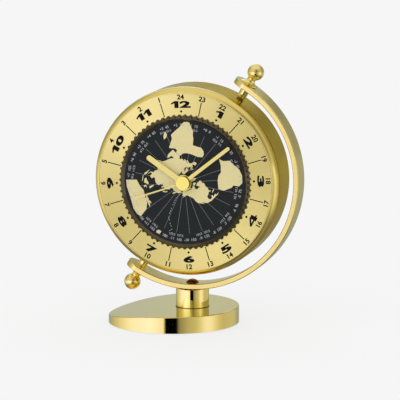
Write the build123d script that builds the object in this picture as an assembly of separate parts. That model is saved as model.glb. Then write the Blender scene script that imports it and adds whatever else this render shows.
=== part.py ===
from build123d import *
from math import acos, asin, atan2, cos, degrees, hypot, radians, sin, sqrt
import os

# World time desk clock: a round head on a tilted axis in a C shaped arm, on a pillar and a round base.
# Millimetres, +Z up. The origin is on the pillar axis, on the surface that the clock stands on.
# The dial looks along -Y and the viewer's right is +X.
# Head pieces are made in the head's frame: x right, y up, z towards the viewer, zero at the head's centre.
# Pivot pieces are made on a pivot frame whose z runs out along the tilted axis, zero at the same place.

# Fits
RUNNING_FIT = 0.05
SEAT_FIT = 0.05
LOOSE_FIT = 0.10
ROUND_SEAT_GAP = 0.02

# Base and its pad
BASE_RADIUS = 39.5
BASE_OFFSET = 11.7
BASE_THICKNESS = 9.9
BASE_TOP_RADIUS = 224.0
BASE_RIM_ROUND = 0.5
PAD_THICKNESS = 1.2
PAD_PROUD = 0.5
PAD_MARGIN = 2.5

# Pillar and its two screws
PILLAR_RADIUS = 10.0
PILLAR_HEIGHT = 11.1
PILLAR_SINK = 0.5
PILLAR_EDGE = 0.3
SADDLE_DEPTH = 0.5
PILLAR_SCREW_RADIUS = 2.5
PILLAR_SCREW_DEPTH = 5.0
PILLAR_SCREW_HEAD_RADIUS = 4.25
PILLAR_SCREW_HEAD_HEIGHT = 4.0
PILLAR_SCREW_SOCKET = 4.0
PILLAR_SCREW_SOCKET_DEPTH = 2.0
SOCKET_SIDES = 6
ARM_SCREW_RADIUS = 2.0
ARM_SCREW_DEPTH = 4.0
ARM_SCREW_HEAD_RADIUS = 4.0
ARM_SCREW_HEAD_HEIGHT = 2.0

# Arm, and how far the head stands right of its centre
AXIS_TILT = 30.6
HEAD_SHIFT = 0.8
ARM_GAP = 7.3
ARM_THICKNESS = 3.3
ARM_WIDTH = 15.0
ARM_EDGE = 0.5
ARM_END_REACH = 8.4

# Case and bezel
CASE_RADIUS = 56.7
CASE_WALL = 3.7
CASE_FRONT = 14.1
CASE_REAR = -12.6
CASE_REAR_ROUND = 3.5
BEZEL_BAND = 3.4
BEZEL_DEPTH = 4.8
BEZEL_LIP = 0.3
BEZEL_LEDGE = 2.6
BEZEL_SPIGOT = 3.1
GROOVE_WIDTH = 0.6
GROOVE_DEPTH = 0.9

# Pivot pins, bushes, washers, clips and finials
PIN_RADIUS = 1.2
PIN_STUB = 5.2
JOURNAL_RADIUS = 1.0
COLLAR_RADIUS = 2.7
WASHER_THICKNESS = 0.5
WASHER_RADIUS = 2.1
BUSH_FLANGE = 0.5
BUSH_FLANGE_RADIUS = 1.95
BUSH_RADIUS = 1.6
BUSH_INNER_STAND = 1.0
CLIP_GAP = 0.3
CLIP_THICKNESS = 0.5
CLIP_RADIUS = 2.2
CLIP_NECK_RADIUS = 0.7
CLIP_MOUTH = 1.0
PIN_TAIL = 0.8
BALL_RADIUS = 4.95
BALL_STAND = 8.2
FINIAL_FOOT_RADIUS = 5.2
FINIAL_FOOT_EDGE = 0.5
FINIAL_FLARE = 3.4
FINIAL_NECK_RADIUS = 2.5

# Dial, world disc and hands, in front of the dial plate's back
DIAL_THICKNESS = 1.0
DIAL_EDGE_GAP = 0.2
DIAL_HOLE_GAP = 0.2
DIAL_FOOT_RADIUS = 1.6
DIAL_FOOT_LENGTH = 3.6
DIAL_FOOT_Y = 3.0
DISC_STAND = 0.5
DISC_THICKNESS = 0.8
DISC_RADIUS = 37.1
RIM_WIDTH = 1.8
RIM_RIDGE = 1.3
RIM_SKIRT = 2.6
RIM_EDGE = 0.4
RIM_PROUD = 1.4
RIM_TEETH = 72
RIM_TOOTH_HEIGHT = 1.6
RIM_TOOTH_ROOT_RATIO = 0.34
RIM_TOOTH_TIP_RATIO = 0.12
HAND_GAP = 0.4
HOUR_HAND_STAND = 0.2
HOUR_HAND_LENGTH = 27.0
HOUR_HAND_WIDTH = 3.3
HOUR_HAND_THICKNESS = 0.5
HOUR_BOSS_RADIUS = 4.9
HOUR_HAND_ANGLE = 303.9
MINUTE_HAND_LENGTH = 36.0
MINUTE_HAND_WIDTH = 2.1
MINUTE_HAND_THICKNESS = 0.4
MINUTE_BOSS_RADIUS = 4.4
MINUTE_HAND_ANGLE = 51.8
SECOND_HAND_LENGTH = 32.3
SECOND_HAND_WIDTH = 0.8
SECOND_HAND_THICKNESS = 0.25
SECOND_BOSS_RADIUS = 2.0
SECOND_HAND_ANGLE = 251.2
SECOND_HAND_GAP = 0.25
CAP_RADIUS = 4.2
CAP_HEIGHT = 0.8
CAP_ROUND = 0.2
CAP_BORE_DEPTH = 0.5

# Movement housing
HOUSING_HALF_WIDTH = 28.0
HOUSING_TOP = 24.0
HOUSING_BOTTOM = 17.5
HOUSING_WALL = 1.4
HOUSING_CORNER = 3.0
HOUSING_REAR = 2.5
FRONT_WALL = 1.5
REAR_PLATE = 1.5
LUG_WIDTH = 8.0
LUG_THICKNESS = 1.6
LUG_REACH = 3.6
NUT_RADIUS = 3.4
NUT_THICKNESS = 0.8
NUT_GAP = 0.4
TRAIN_PLATE = 0.8
CENTRE_BUSH_WALL = 0.8
CENTRE_BUSH_SHY = 0.1

# Centre tubes and arbors
ARBOR_RADIUS = 0.5
PIVOT_DEPTH = 0.6
CANNON_WALL = 0.55
HOUR_TUBE_WALL = 0.6
DAY_TUBE_WALL = 1.0
POST_RADIUS = 0.7

# Teeth: heights in modules, half widths in pitches
LAYER_THICKNESS = 0.9
LAYER_GAP = 0.4
TRAIN_LAYERS = 4
MOTION_LAYERS = 5
TOOTH_ADDENDUM_RATIO = 0.6
TOOTH_DEDENDUM_RATIO = 0.95
TOOTH_ROOT_RATIO = 0.29
TOOTH_TIP_RATIO = 0.13

# Going train: tooth counts, centre distances and directions, anticlockwise from the viewer's right
TRAIN_PINION_TEETH = 8
ROTOR_WHEEL_TEETH = 48
SECOND_WHEEL_TEETH = 40
THIRD_WHEEL_TEETH = 60
CENTRE_WHEEL_TEETH = 64
INTERMEDIATE_DISTANCE = 8.64
INTERMEDIATE_DIRECTION = 250.0
ROTOR_DISTANCE = 6.72
ROTOR_DIRECTION = 320.0
THIRD_DISTANCE = 8.16
THIRD_DIRECTION = 10.0
MAGNET_RADIUS = 2.2

# Motion work and the reversing idlers of the world disc
CANNON_TEETH = 12
MINUTE_WHEEL_TEETH = 36
MINUTE_PINION_TEETH = 10
HOUR_WHEEL_TEETH = 40
REVERSE_WHEEL_TEETH = 30
IDLER_TEETH = 20
DAY_WHEEL_TEETH = 60
MOTION_DISTANCE = 9.6
MINUTE_WHEEL_DIRECTION = 180.0
IDLER_DIRECTION = 60.0
KNOB_PINION_TEETH = 12
KNOB_DIRECTION = 225.0
KNOB_SHAFT_RADIUS = 1.5
KNOB_RADIUS = 5.0
KNOB_HEIGHT = 5.0
KNOB_GAP = 0.5
KNOB_GROOVE_COUNT = 18
KNOB_GROOVE_RADIUS = 0.4

# Motor and circuit
STATOR_THICKNESS = 0.8
STATOR_LEFT = -1.0
STATOR_SIDE_GAP = 1.8
STATOR_END = 2.4
STATOR_TOP = -8.6
STATOR_MARGIN = 0.1
STATOR_BORE_GAP = 0.4
COIL_RADIUS = 2.5
COIL_LENGTH = 14.0
COIL_FLANGE = 0.8
COIL_FLANGE_STAND = 0.2
COIL_WINDOW_GAP = 0.3
BOARD_THICKNESS = 1.0
BOARD_SIDE_GAP = 1.6
BOARD_TOP_GAP = 1.1
BOARD_HEIGHT = 11.1
CHIP_SIZE = 5.0
CHIP_HEIGHT = 1.0
CRYSTAL_CAN_RADIUS = 1.0
CRYSTAL_CAN_LENGTH = 6.0
CRYSTAL_CAN_X = 13.0

# Rear cover, battery tray, battery and door
COVER_RECESS = 1.4
COVER_THICKNESS = 2.6
COVER_GAP = 0.2
COVER_LEDGE_WIDTH = 3.5
COVER_LEDGE_THICKNESS = 1.5
COVER_SCREW_COUNT = 4
COVER_SCREW_RADIUS = 1.0
COVER_SCREW_HEAD_RADIUS = 1.6
COVER_SCREW_HEAD_HEIGHT = 1.0
COVER_SCREW_SLOT = 0.5
COVER_SCREW_START = 45.0
BATTERY_RADIUS = 5.2
BATTERY_LENGTH = 43.5
BATTERY_NUB_RADIUS = 1.9
BATTERY_NUB_LENGTH = 1.0
BATTERY_FLOOR_GAP = 0.1
TRAY_WALL = 1.2
TRAY_END_ROOM = 2.2
TRAY_SIDE_ROOM = 0.6
TRAY_DEPTH = 11.2
TRAY_TO_HOUSING = 0.5
CONTACT_THICKNESS = 0.4
CONTACT_HALF_HEIGHT = 3.6
CONTACT_LEAF_WIDTH = 4.0
CONTACT_TOUCH_GAP = 0.1
DOOR_THICKNESS = 1.6
DOOR_LIP = 1.6
DOOR_GAP = 0.3
DOOR_CORNER = 1.5
DOOR_PIN_RADIUS = 0.45
DOOR_PIN_LENGTH = 1.1
DOOR_GRIP_WIDTH = 14.0
DOOR_GRIP_HEIGHT = 0.8
DOOR_GRIP_DEPTH = 0.5
DOOR_GRIP_COUNT = 3
DOOR_GRIP_PITCH = 1.7

# Places worked out from the sizes above
BASE_TOP = PAD_PROUD + BASE_THICKNESS
ARM_INNER = CASE_RADIUS + ARM_GAP
ARM_OUTER = ARM_INNER + ARM_THICKNESS
PILLAR_TOP = BASE_TOP + PILLAR_HEIGHT
CENTRE_HEIGHT = PILLAR_TOP + ARM_OUTER
DIAL_FACE = CASE_FRONT + GROOVE_WIDTH + BEZEL_DEPTH
DIAL_BACK = DIAL_FACE - DIAL_THICKNESS
BEZEL_BORE = CASE_RADIUS - BEZEL_BAND
CASE_BORE = CASE_RADIUS - CASE_WALL
COVER_BACK = CASE_REAR + COVER_RECESS
COVER_FACE = COVER_BACK + COVER_THICKNESS
DIAL_FOOT_X = HOUSING_HALF_WIDTH + NUT_RADIUS + NUT_GAP
BIG = 3 * ARM_OUTER

HEAD_CENTRE = Pos(HEAD_SHIFT, 0, CENTRE_HEIGHT)
IN_HEAD = HEAD_CENTRE * Rot(90, 0, 0)
UPPER_PIVOT = HEAD_CENTRE * Rot(0, AXIS_TILT, 0)
LOWER_PIVOT = HEAD_CENTRE * Rot(0, AXIS_TILT + 180, 0)
ARM_ALONG_AXIS = HEAD_SHIFT * sin(radians(AXIS_TILT))
ARM_ACROSS_AXIS = HEAD_SHIFT * cos(radians(AXIS_TILT))

# Centre tubes, from the seconds arbor outwards
CANNON_BORE = ARBOR_RADIUS + RUNNING_FIT
CANNON_RADIUS = CANNON_BORE + CANNON_WALL
HOUR_BORE = CANNON_RADIUS + RUNNING_FIT
HOUR_RADIUS = HOUR_BORE + HOUR_TUBE_WALL
DAY_BORE = HOUR_RADIUS + RUNNING_FIT
DAY_RADIUS = DAY_BORE + DAY_TUBE_WALL
BUSH_BORE = DAY_RADIUS + RUNNING_FIT
CENTRE_BUSH_RADIUS = BUSH_BORE + CENTRE_BUSH_WALL

# Heights of the disc and the hands above the dial
DISC_BACK = DIAL_FACE + DISC_STAND
DISC_FACE = DISC_BACK + DISC_THICKNESS
RIM_FACE = DISC_FACE + RIM_PROUD
HOUR_BACK = RIM_FACE + HOUR_HAND_STAND
HOUR_FACE = HOUR_BACK + HOUR_HAND_THICKNESS
MINUTE_BACK = HOUR_FACE + HAND_GAP
MINUTE_FACE = MINUTE_BACK + MINUTE_HAND_THICKNESS
SECOND_BACK = MINUTE_FACE + SECOND_HAND_GAP
SECOND_FACE = SECOND_BACK + SECOND_HAND_THICKNESS
CAP_FACE = SECOND_FACE + CAP_HEIGHT

# Layers of teeth, counted from the rear plate forwards, with the train plate between the two trains
LAYER_STEP = LAYER_THICKNESS + LAYER_GAP
ROTOR_LAYER, SECOND_LAYER, THIRD_LAYER, CENTRE_LAYER = range(TRAIN_LAYERS)
MINUTE_LAYER, HOUR_LAYER, REVERSE_LAYER, IDLER_LAYER, DAY_LAYER = range(MOTION_LAYERS)
TRAIN_PLATE_REAR = HOUSING_REAR + LAYER_GAP + TRAIN_LAYERS * LAYER_STEP
TRAIN_PLATE_FRONT = TRAIN_PLATE_REAR + TRAIN_PLATE


def train_layer(index):
    start = HOUSING_REAR + LAYER_GAP + index * LAYER_STEP
    return start, start + LAYER_THICKNESS


def motion_layer(index):
    start = TRAIN_PLATE_FRONT + LAYER_GAP + index * LAYER_STEP
    return start, start + LAYER_THICKNESS


def slab(sketch, low, high):
    return Pos(0, 0, low) * extrude(sketch, high - low)


def rod(radius, low, high):
    return slab(Circle(radius), low, high)


def tube(radius, bore, low, high):
    return slab(Circle(radius) - Circle(bore), low, high)


def turned(outline):
    return revolve(Plane.XZ * make_face(outline), Axis.Z)


def turned_points(*points):
    return turned(Polyline(*points, close=True))


def at(place):
    return Pos(place[0], place[1], 0)


def write(name, shape):
    shape.label = name
    export_step(shape, f"parts/{name}.step")


# Stand


def make_base():
    left = BASE_OFFSET + BASE_RADIUS + PAD_MARGIN
    drop = BASE_TOP_RADIUS - sqrt(BASE_TOP_RADIUS**2 - left**2)
    half_drop = BASE_TOP_RADIUS - sqrt(BASE_TOP_RADIUS**2 - (left / 2) ** 2)
    fall = ThreePointArc((0, BASE_TOP), (-left / 2, BASE_TOP - half_drop), (-left, BASE_TOP - drop))
    rest = Polyline(
        (-left, BASE_TOP - drop),
        (-left, PAD_PROUD),
        (left, PAD_PROUD),
        (left, BASE_TOP),
        (0, BASE_TOP),
    )
    profile = extrude(Plane.XZ * make_face(fall + rest), BASE_RADIUS + PAD_MARGIN, both=True)
    plan = Pos(-BASE_OFFSET, 0, 0) * rod(BASE_RADIUS, PAD_PROUD, BASE_TOP)
    base = profile & plan
    edge_limit = PAD_PROUD + BASE_RIM_ROUND
    rim = [edge for edge in base.edges() if on_base_rim(edge, edge_limit)]
    base = fillet(rim, BASE_RIM_ROUND)
    base -= Pos(-BASE_OFFSET, 0, 0) * rod(BASE_RADIUS - PAD_MARGIN, 0, PAD_THICKNESS)
    base -= rod(PILLAR_RADIUS + SEAT_FIT, BASE_TOP - PILLAR_SINK, BASE_TOP + PILLAR_SINK)
    base -= rod(PILLAR_SCREW_RADIUS + LOOSE_FIT, 0, BASE_TOP)
    base -= rod(PILLAR_SCREW_HEAD_RADIUS + LOOSE_FIT, 0, PAD_THICKNESS + PILLAR_SCREW_HEAD_HEIGHT)
    return base


def on_base_rim(edge, edge_limit):
    middle = edge @ 0.5
    return middle.Z > edge_limit and hypot(middle.X + BASE_OFFSET, middle.Y) > BASE_RADIUS - BASE_RIM_ROUND


def make_base_pad():
    return Pos(-BASE_OFFSET, 0, 0) * rod(BASE_RADIUS - PAD_MARGIN - SEAT_FIT, 0, PAD_THICKNESS)


def make_pillar():
    foot = BASE_TOP - PILLAR_SINK
    pillar = rod(PILLAR_RADIUS, foot, PILLAR_TOP + SADDLE_DEPTH)
    pillar = chamfer(pillar.edges().sort_by(Axis.Z)[-1], PILLAR_EDGE)
    saddle = Cylinder(ARM_OUTER + ROUND_SEAT_GAP, BIG, rotation=(90, 0, 0))
    pillar -= Pos(0, 0, CENTRE_HEIGHT) * saddle
    pillar -= rod(PILLAR_SCREW_RADIUS + SEAT_FIT, foot, foot + PILLAR_SCREW_DEPTH)
    pillar -= rod(ARM_SCREW_RADIUS + SEAT_FIT, PILLAR_TOP - ARM_SCREW_DEPTH, CENTRE_HEIGHT)
    return pillar


def make_pillar_screw():
    head_top = PAD_THICKNESS + PILLAR_SCREW_HEAD_HEIGHT
    screw = rod(PILLAR_SCREW_HEAD_RADIUS, PAD_THICKNESS, head_top)
    screw += rod(PILLAR_SCREW_RADIUS, head_top, BASE_TOP - PILLAR_SINK + PILLAR_SCREW_DEPTH)
    socket = RegularPolygon(PILLAR_SCREW_SOCKET / 2, SOCKET_SIDES, major_radius=False)
    return screw - slab(socket, PAD_THICKNESS, PAD_THICKNESS + PILLAR_SCREW_SOCKET_DEPTH)


def make_arm():
    # Half a ring that runs out in a flat tab with a round end at each pivot
    middle_radius = (ARM_INNER + ARM_OUTER) / 2
    right_half = Pos(BIG / 2, 0, 0) * Box(BIG, BIG, BIG)
    section = Pos(middle_radius, 0) * RectangleRounded(ARM_THICKNESS, ARM_WIDTH, ARM_EDGE)
    arm = revolve(section, Axis.Y) & right_half
    tab_length = ARM_END_REACH - ARM_ACROSS_AXIS
    round_end = Pos(ARM_WIDTH / 2 - tab_length, 0, 0) * (Cylinder(ARM_WIDTH / 2, BIG) + right_half)
    for height in (-middle_radius, middle_radius):
        tab_section = Plane.YZ * (Pos(0, height) * RectangleRounded(ARM_WIDTH, ARM_THICKNESS, ARM_EDGE))
        arm += extrude(tab_section, -tab_length) & round_end
    arm = Pos(-ARM_ACROSS_AXIS, 0, -ARM_ALONG_AXIS) * arm
    arm -= Cylinder(PIN_RADIUS + SEAT_FIT, BIG)
    arm = UPPER_PIVOT * arm
    return arm - rod(ARM_SCREW_RADIUS + LOOSE_FIT, PILLAR_TOP - ARM_THICKNESS, CENTRE_HEIGHT)


def make_arm_screw():
    rim_rise = ARM_INNER - sqrt(ARM_INNER**2 - ARM_SCREW_HEAD_RADIUS**2)
    seat = CENTRE_HEIGHT - ARM_INNER + rim_rise + ROUND_SEAT_GAP
    dome_radius = (ARM_SCREW_HEAD_RADIUS**2 + ARM_SCREW_HEAD_HEIGHT**2) / (2 * ARM_SCREW_HEAD_HEIGHT)
    dome_centre = seat + ARM_SCREW_HEAD_HEIGHT - dome_radius
    dome = Pos(0, 0, dome_centre) * Sphere(dome_radius)
    dome &= rod(ARM_SCREW_HEAD_RADIUS, seat, seat + ARM_SCREW_HEAD_HEIGHT)
    return dome + rod(ARM_SCREW_RADIUS, PILLAR_TOP - ARM_SCREW_DEPTH, seat)


# Pivots, with z running out along the axis from the head's centre

BUSH_SEAT = CASE_RADIUS + ROUND_SEAT_GAP
BUSH_FACE = BUSH_SEAT + BUSH_FLANGE
BUSH_END = CASE_BORE - BUSH_INNER_STAND
COLLAR_START = BUSH_FACE + WASHER_THICKNESS
CLIP_FRONT = BUSH_END - CLIP_GAP
CLIP_REAR = CLIP_FRONT - CLIP_THICKNESS


def finial_seat(arm_centre):
    return arm_centre + ARM_OUTER + ROUND_SEAT_GAP


def make_pivot_pin(arm_centre):
    half_width = COLLAR_RADIUS + ARM_ACROSS_AXIS
    collar_end = arm_centre + sqrt(ARM_INNER**2 - half_width**2) - ROUND_SEAT_GAP
    pin = rod(JOURNAL_RADIUS, CLIP_REAR - PIN_TAIL, COLLAR_START)
    pin -= tube(COLLAR_RADIUS, CLIP_NECK_RADIUS, CLIP_REAR, CLIP_FRONT)
    pin += rod(COLLAR_RADIUS, COLLAR_START, collar_end)
    return pin + rod(PIN_RADIUS, collar_end, finial_seat(arm_centre) + PIN_STUB)


def make_pin_clip():
    clip = tube(CLIP_RADIUS, CLIP_NECK_RADIUS + SEAT_FIT, CLIP_REAR + SEAT_FIT, CLIP_FRONT - SEAT_FIT)
    mouth = Pos(CLIP_RADIUS, 0, CLIP_FRONT) * Box(2 * CLIP_RADIUS, CLIP_MOUTH, 2 * CLIP_THICKNESS)
    return clip - mouth


def make_pivot_bush():
    bush = tube(BUSH_FLANGE_RADIUS, JOURNAL_RADIUS + RUNNING_FIT, BUSH_SEAT, BUSH_FACE)
    return bush + tube(BUSH_RADIUS, JOURNAL_RADIUS + RUNNING_FIT, BUSH_END, BUSH_SEAT)


def make_friction_washer():
    return tube(WASHER_RADIUS, JOURNAL_RADIUS + RUNNING_FIT, BUSH_FACE + ROUND_SEAT_GAP, COLLAR_START)


def make_finial(arm_centre):
    seat = finial_seat(arm_centre)
    ball_centre = seat + BALL_STAND
    foot_top = seat + FINIAL_FOOT_EDGE
    neck_start = foot_top + FINIAL_FLARE
    neck_end = ball_centre - sqrt(BALL_RADIUS**2 - FINIAL_NECK_RADIUS**2)
    half_turn = sqrt(0.5)
    flare_middle = (
        FINIAL_FOOT_RADIUS - half_turn * (FINIAL_FOOT_RADIUS - FINIAL_NECK_RADIUS),
        neck_start - half_turn * FINIAL_FLARE,
    )
    foot = Polyline(
        (0, neck_end),
        (0, seat),
        (FINIAL_FOOT_RADIUS, seat),
        (FINIAL_FOOT_RADIUS, foot_top),
    )
    flare = ThreePointArc((FINIAL_FOOT_RADIUS, foot_top), flare_middle, (FINIAL_NECK_RADIUS, neck_start))
    neck = Polyline((FINIAL_NECK_RADIUS, neck_start), (FINIAL_NECK_RADIUS, neck_end), (0, neck_end))
    finial = turned(foot + flare + neck) + Pos(0, 0, ball_centre) * Sphere(BALL_RADIUS)
    return finial - rod(PIN_RADIUS + SEAT_FIT, seat, seat + PIN_STUB)


# Case, bezel and dial


def make_case():
    ledge_face = COVER_FACE + COVER_LEDGE_THICKNESS
    ledge_bore = CASE_BORE - COVER_LEDGE_WIDTH
    case = turned_points(
        (CASE_RADIUS, CASE_FRONT),
        (CASE_BORE, CASE_FRONT),
        (CASE_BORE, ledge_face),
        (ledge_bore, ledge_face),
        (ledge_bore, COVER_FACE),
        (CASE_BORE, COVER_FACE),
        (CASE_BORE, CASE_REAR),
        (CASE_RADIUS, CASE_REAR),
    )
    rear_edges = case.edges().filter_by(GeomType.CIRCLE).group_by(Axis.Z)[0]
    case = fillet(rear_edges.sort_by(lambda edge: edge.radius)[-1], CASE_REAR_ROUND)
    for place in cover_screw_places():
        case -= place * rod(COVER_SCREW_RADIUS + SEAT_FIT, COVER_FACE, ledge_face)
    case = IN_HEAD * case
    case -= UPPER_PIVOT * rod(BUSH_RADIUS + SEAT_FIT, 0, BIG)
    return case - LOWER_PIVOT * rod(BUSH_RADIUS + SEAT_FIT, 0, BIG)


def make_bezel():
    groove_front = CASE_FRONT + GROOVE_WIDTH
    ledge_bore = BEZEL_BORE - BEZEL_LEDGE
    spigot_radius = CASE_BORE - LOOSE_FIT
    lip = BEZEL_BORE + BEZEL_LIP
    width = CASE_RADIUS - lip
    band_radius = (width**2 + BEZEL_DEPTH**2) / (2 * width)
    half_band = asin(BEZEL_DEPTH / band_radius) / 2
    middle = (CASE_RADIUS - band_radius * (1 - cos(half_band)), groove_front + band_radius * sin(half_band))
    inner = Polyline(
        (CASE_RADIUS, groove_front),
        (CASE_RADIUS - GROOVE_DEPTH, groove_front),
        (CASE_RADIUS - GROOVE_DEPTH, CASE_FRONT),
        (spigot_radius, CASE_FRONT),
        (spigot_radius, CASE_FRONT - BEZEL_SPIGOT),
        (ledge_bore, CASE_FRONT - BEZEL_SPIGOT),
        (ledge_bore, DIAL_BACK),
        (BEZEL_BORE, DIAL_BACK),
        (BEZEL_BORE, DIAL_FACE),
        (lip, DIAL_FACE),
    )
    band = ThreePointArc((lip, DIAL_FACE), middle, (CASE_RADIUS, groove_front))
    return IN_HEAD * turned(inner + band)


def dial_foot_places():
    return [Pos(side * DIAL_FOOT_X, DIAL_FOOT_Y, 0) for side in (-1, 1)]


def make_dial_plate():
    dial = tube(BEZEL_BORE - DIAL_EDGE_GAP, CENTRE_BUSH_RADIUS + DIAL_HOLE_GAP, DIAL_BACK, DIAL_FACE)
    for place in dial_foot_places():
        dial += place * rod(DIAL_FOOT_RADIUS, DIAL_BACK - DIAL_FOOT_LENGTH, DIAL_BACK)
    return IN_HEAD * dial


def make_push_nuts():
    nut_front = DIAL_BACK - LUG_THICKNESS
    nuts = [
        place * tube(NUT_RADIUS, DIAL_FOOT_RADIUS + ROUND_SEAT_GAP, nut_front - NUT_THICKNESS, nut_front)
        for place in dial_foot_places()
    ]
    return IN_HEAD * Compound(nuts)


# Rear cover, battery tray and door

TRAY_TOP = -HOUSING_BOTTOM - TRAY_TO_HOUSING
TRAY_INNER_HEIGHT = 2 * BATTERY_RADIUS + TRAY_SIDE_ROOM
TRAY_INNER_LENGTH = BATTERY_LENGTH + BATTERY_NUB_LENGTH + 2 * TRAY_END_ROOM
TRAY_CENTRE = TRAY_TOP - TRAY_WALL - TRAY_INNER_HEIGHT / 2
TRAY_FLOOR = COVER_FACE + TRAY_DEPTH
BATTERY_AXIS = TRAY_FLOOR - BATTERY_FLOOR_GAP - BATTERY_RADIUS
DOOR_LENGTH = TRAY_INNER_LENGTH + 2 * DOOR_LIP
DOOR_HEIGHT = TRAY_INNER_HEIGHT + 2 * DOOR_LIP
DOOR_HALF_LENGTH = DOOR_LENGTH / 2 - DOOR_GAP
DOOR_TOP = TRAY_CENTRE + DOOR_HEIGHT / 2 - DOOR_GAP
DOOR_HINGE_Y = TRAY_CENTRE - DOOR_HEIGHT / 2 + DOOR_GAP + DOOR_THICKNESS / 2
DOOR_HINGE_Z = COVER_BACK + DOOR_THICKNESS / 2
DOOR_HINGE = Pos(0, DOOR_HINGE_Y, DOOR_HINGE_Z) * Rot(0, 90, 0)


def cover_screw_places():
    radius = CASE_BORE - COVER_LEDGE_WIDTH / 2
    return PolarLocations(radius, COVER_SCREW_COUNT, COVER_SCREW_START).locations


def make_rear_cover():
    cover = rod(CASE_BORE - COVER_GAP, COVER_BACK, COVER_FACE)
    at_tray = Pos(0, TRAY_CENTRE, 0)
    window = Rectangle(TRAY_INNER_LENGTH, TRAY_INNER_HEIGHT)
    recess = Rectangle(DOOR_LENGTH, DOOR_HEIGHT)
    recess = fillet(recess.vertices().group_by(Axis.Y)[-1], DOOR_CORNER)
    cover -= at_tray * slab(window, COVER_BACK, COVER_FACE)
    cover -= at_tray * slab(recess, COVER_BACK, COVER_BACK + DOOR_THICKNESS + SEAT_FIT)
    pin_hole_end = DOOR_HALF_LENGTH + DOOR_PIN_LENGTH + SEAT_FIT
    cover -= DOOR_HINGE * rod(DOOR_PIN_RADIUS + RUNNING_FIT, -pin_hole_end, pin_hole_end)
    cover -= at(KNOB) * rod(KNOB_SHAFT_RADIUS + LOOSE_FIT, COVER_BACK, COVER_FACE)
    for place in cover_screw_places():
        cover -= place * rod(COVER_SCREW_RADIUS + LOOSE_FIT, COVER_BACK, COVER_FACE)
    return IN_HEAD * cover


def make_cover_screws():
    head = rod(COVER_SCREW_HEAD_RADIUS, COVER_BACK - COVER_SCREW_HEAD_HEIGHT, COVER_BACK)
    slot = Box(2 * COVER_SCREW_HEAD_RADIUS, COVER_SCREW_SLOT, COVER_SCREW_HEAD_HEIGHT)
    head -= Pos(0, 0, COVER_BACK - COVER_SCREW_HEAD_HEIGHT) * slot
    screw = head + rod(COVER_SCREW_RADIUS, COVER_BACK, COVER_FACE + COVER_LEDGE_THICKNESS)
    return IN_HEAD * Compound([place * screw for place in cover_screw_places()])


def make_battery_tray():
    outer = Rectangle(TRAY_INNER_LENGTH + 2 * TRAY_WALL, TRAY_INNER_HEIGHT + 2 * TRAY_WALL)
    tray = slab(outer, COVER_FACE, TRAY_FLOOR + TRAY_WALL)
    tray -= slab(Rectangle(TRAY_INNER_LENGTH, TRAY_INNER_HEIGHT), COVER_FACE, TRAY_FLOOR)
    return IN_HEAD * Pos(0, TRAY_CENTRE, 0) * tray


def along_tray(shape):
    return IN_HEAD * Pos(0, TRAY_CENTRE, BATTERY_AXIS) * Rot(0, 90, 0) * shape


def make_battery():
    half = (BATTERY_LENGTH + BATTERY_NUB_LENGTH) / 2
    can = rod(BATTERY_RADIUS, -half, half - BATTERY_NUB_LENGTH)
    return along_tray(can + rod(BATTERY_NUB_RADIUS, half - BATTERY_NUB_LENGTH, half))


def make_battery_contacts():
    wall = TRAY_INNER_LENGTH / 2
    touch = wall - TRAY_END_ROOM + CONTACT_TOUCH_GAP
    plate = Rectangle(2 * CONTACT_HALF_HEIGHT, 2 * CONTACT_HALF_HEIGHT)
    positive = slab(plate, wall - CONTACT_THICKNESS, wall) + rod(BATTERY_NUB_RADIUS, touch, wall)
    leaf_side = make_face(
        Polyline(
            (CONTACT_HALF_HEIGHT, -wall),
            (0, -touch),
            (-CONTACT_HALF_HEIGHT, -wall),
            (-CONTACT_HALF_HEIGHT + CONTACT_THICKNESS, -wall),
            (0, -touch - CONTACT_THICKNESS),
            (CONTACT_HALF_HEIGHT - CONTACT_THICKNESS, -wall),
            close=True,
        )
    )
    leaf = extrude(Plane.XZ * leaf_side, CONTACT_LEAF_WIDTH / 2, both=True)
    negative = slab(plate, -wall, -wall + CONTACT_THICKNESS) + leaf
    return along_tray(Compound([positive, negative]))


def make_battery_door():
    # A leaf with a round lower edge that turns on a short pin at each end
    leaf_height = DOOR_TOP - DOOR_HINGE_Y
    leaf = Box(2 * DOOR_HALF_LENGTH, leaf_height, DOOR_THICKNESS)
    leaf = fillet(leaf.edges().filter_by(Axis.Z).group_by(Axis.Y)[-1], DOOR_CORNER)
    door = Pos(0, DOOR_HINGE_Y + leaf_height / 2, DOOR_HINGE_Z) * leaf
    door += DOOR_HINGE * rod(DOOR_THICKNESS / 2, -DOOR_HALF_LENGTH, DOOR_HALF_LENGTH)
    pin_end = DOOR_HALF_LENGTH + DOOR_PIN_LENGTH
    door += DOOR_HINGE * rod(DOOR_PIN_RADIUS, -pin_end, pin_end)
    first_grip = (DOOR_GRIP_COUNT - 1) * DOOR_GRIP_PITCH / 2
    for index in range(DOOR_GRIP_COUNT):
        grip = Box(DOOR_GRIP_WIDTH, DOOR_GRIP_HEIGHT, 2 * DOOR_GRIP_DEPTH)
        door -= Pos(0, TRAY_CENTRE + first_grip - index * DOOR_GRIP_PITCH, COVER_BACK) * grip
    return IN_HEAD * door


# Toothed wheels


def tooth_outline(teeth, tip_radius, root_radius, tip_half, root_half, phase):
    rise = ((-root_half, root_radius), (-tip_half, tip_radius))
    fall = ((tip_half, tip_radius), (root_half, root_radius))
    points = []
    for index in range(teeth):
        for offset, radius in rise + fall:
            angle = radians(phase + (index + offset) * 360 / teeth)
            points.append((radius * cos(angle), radius * sin(angle)))
    return make_face(Polyline(*points, close=True))


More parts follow.
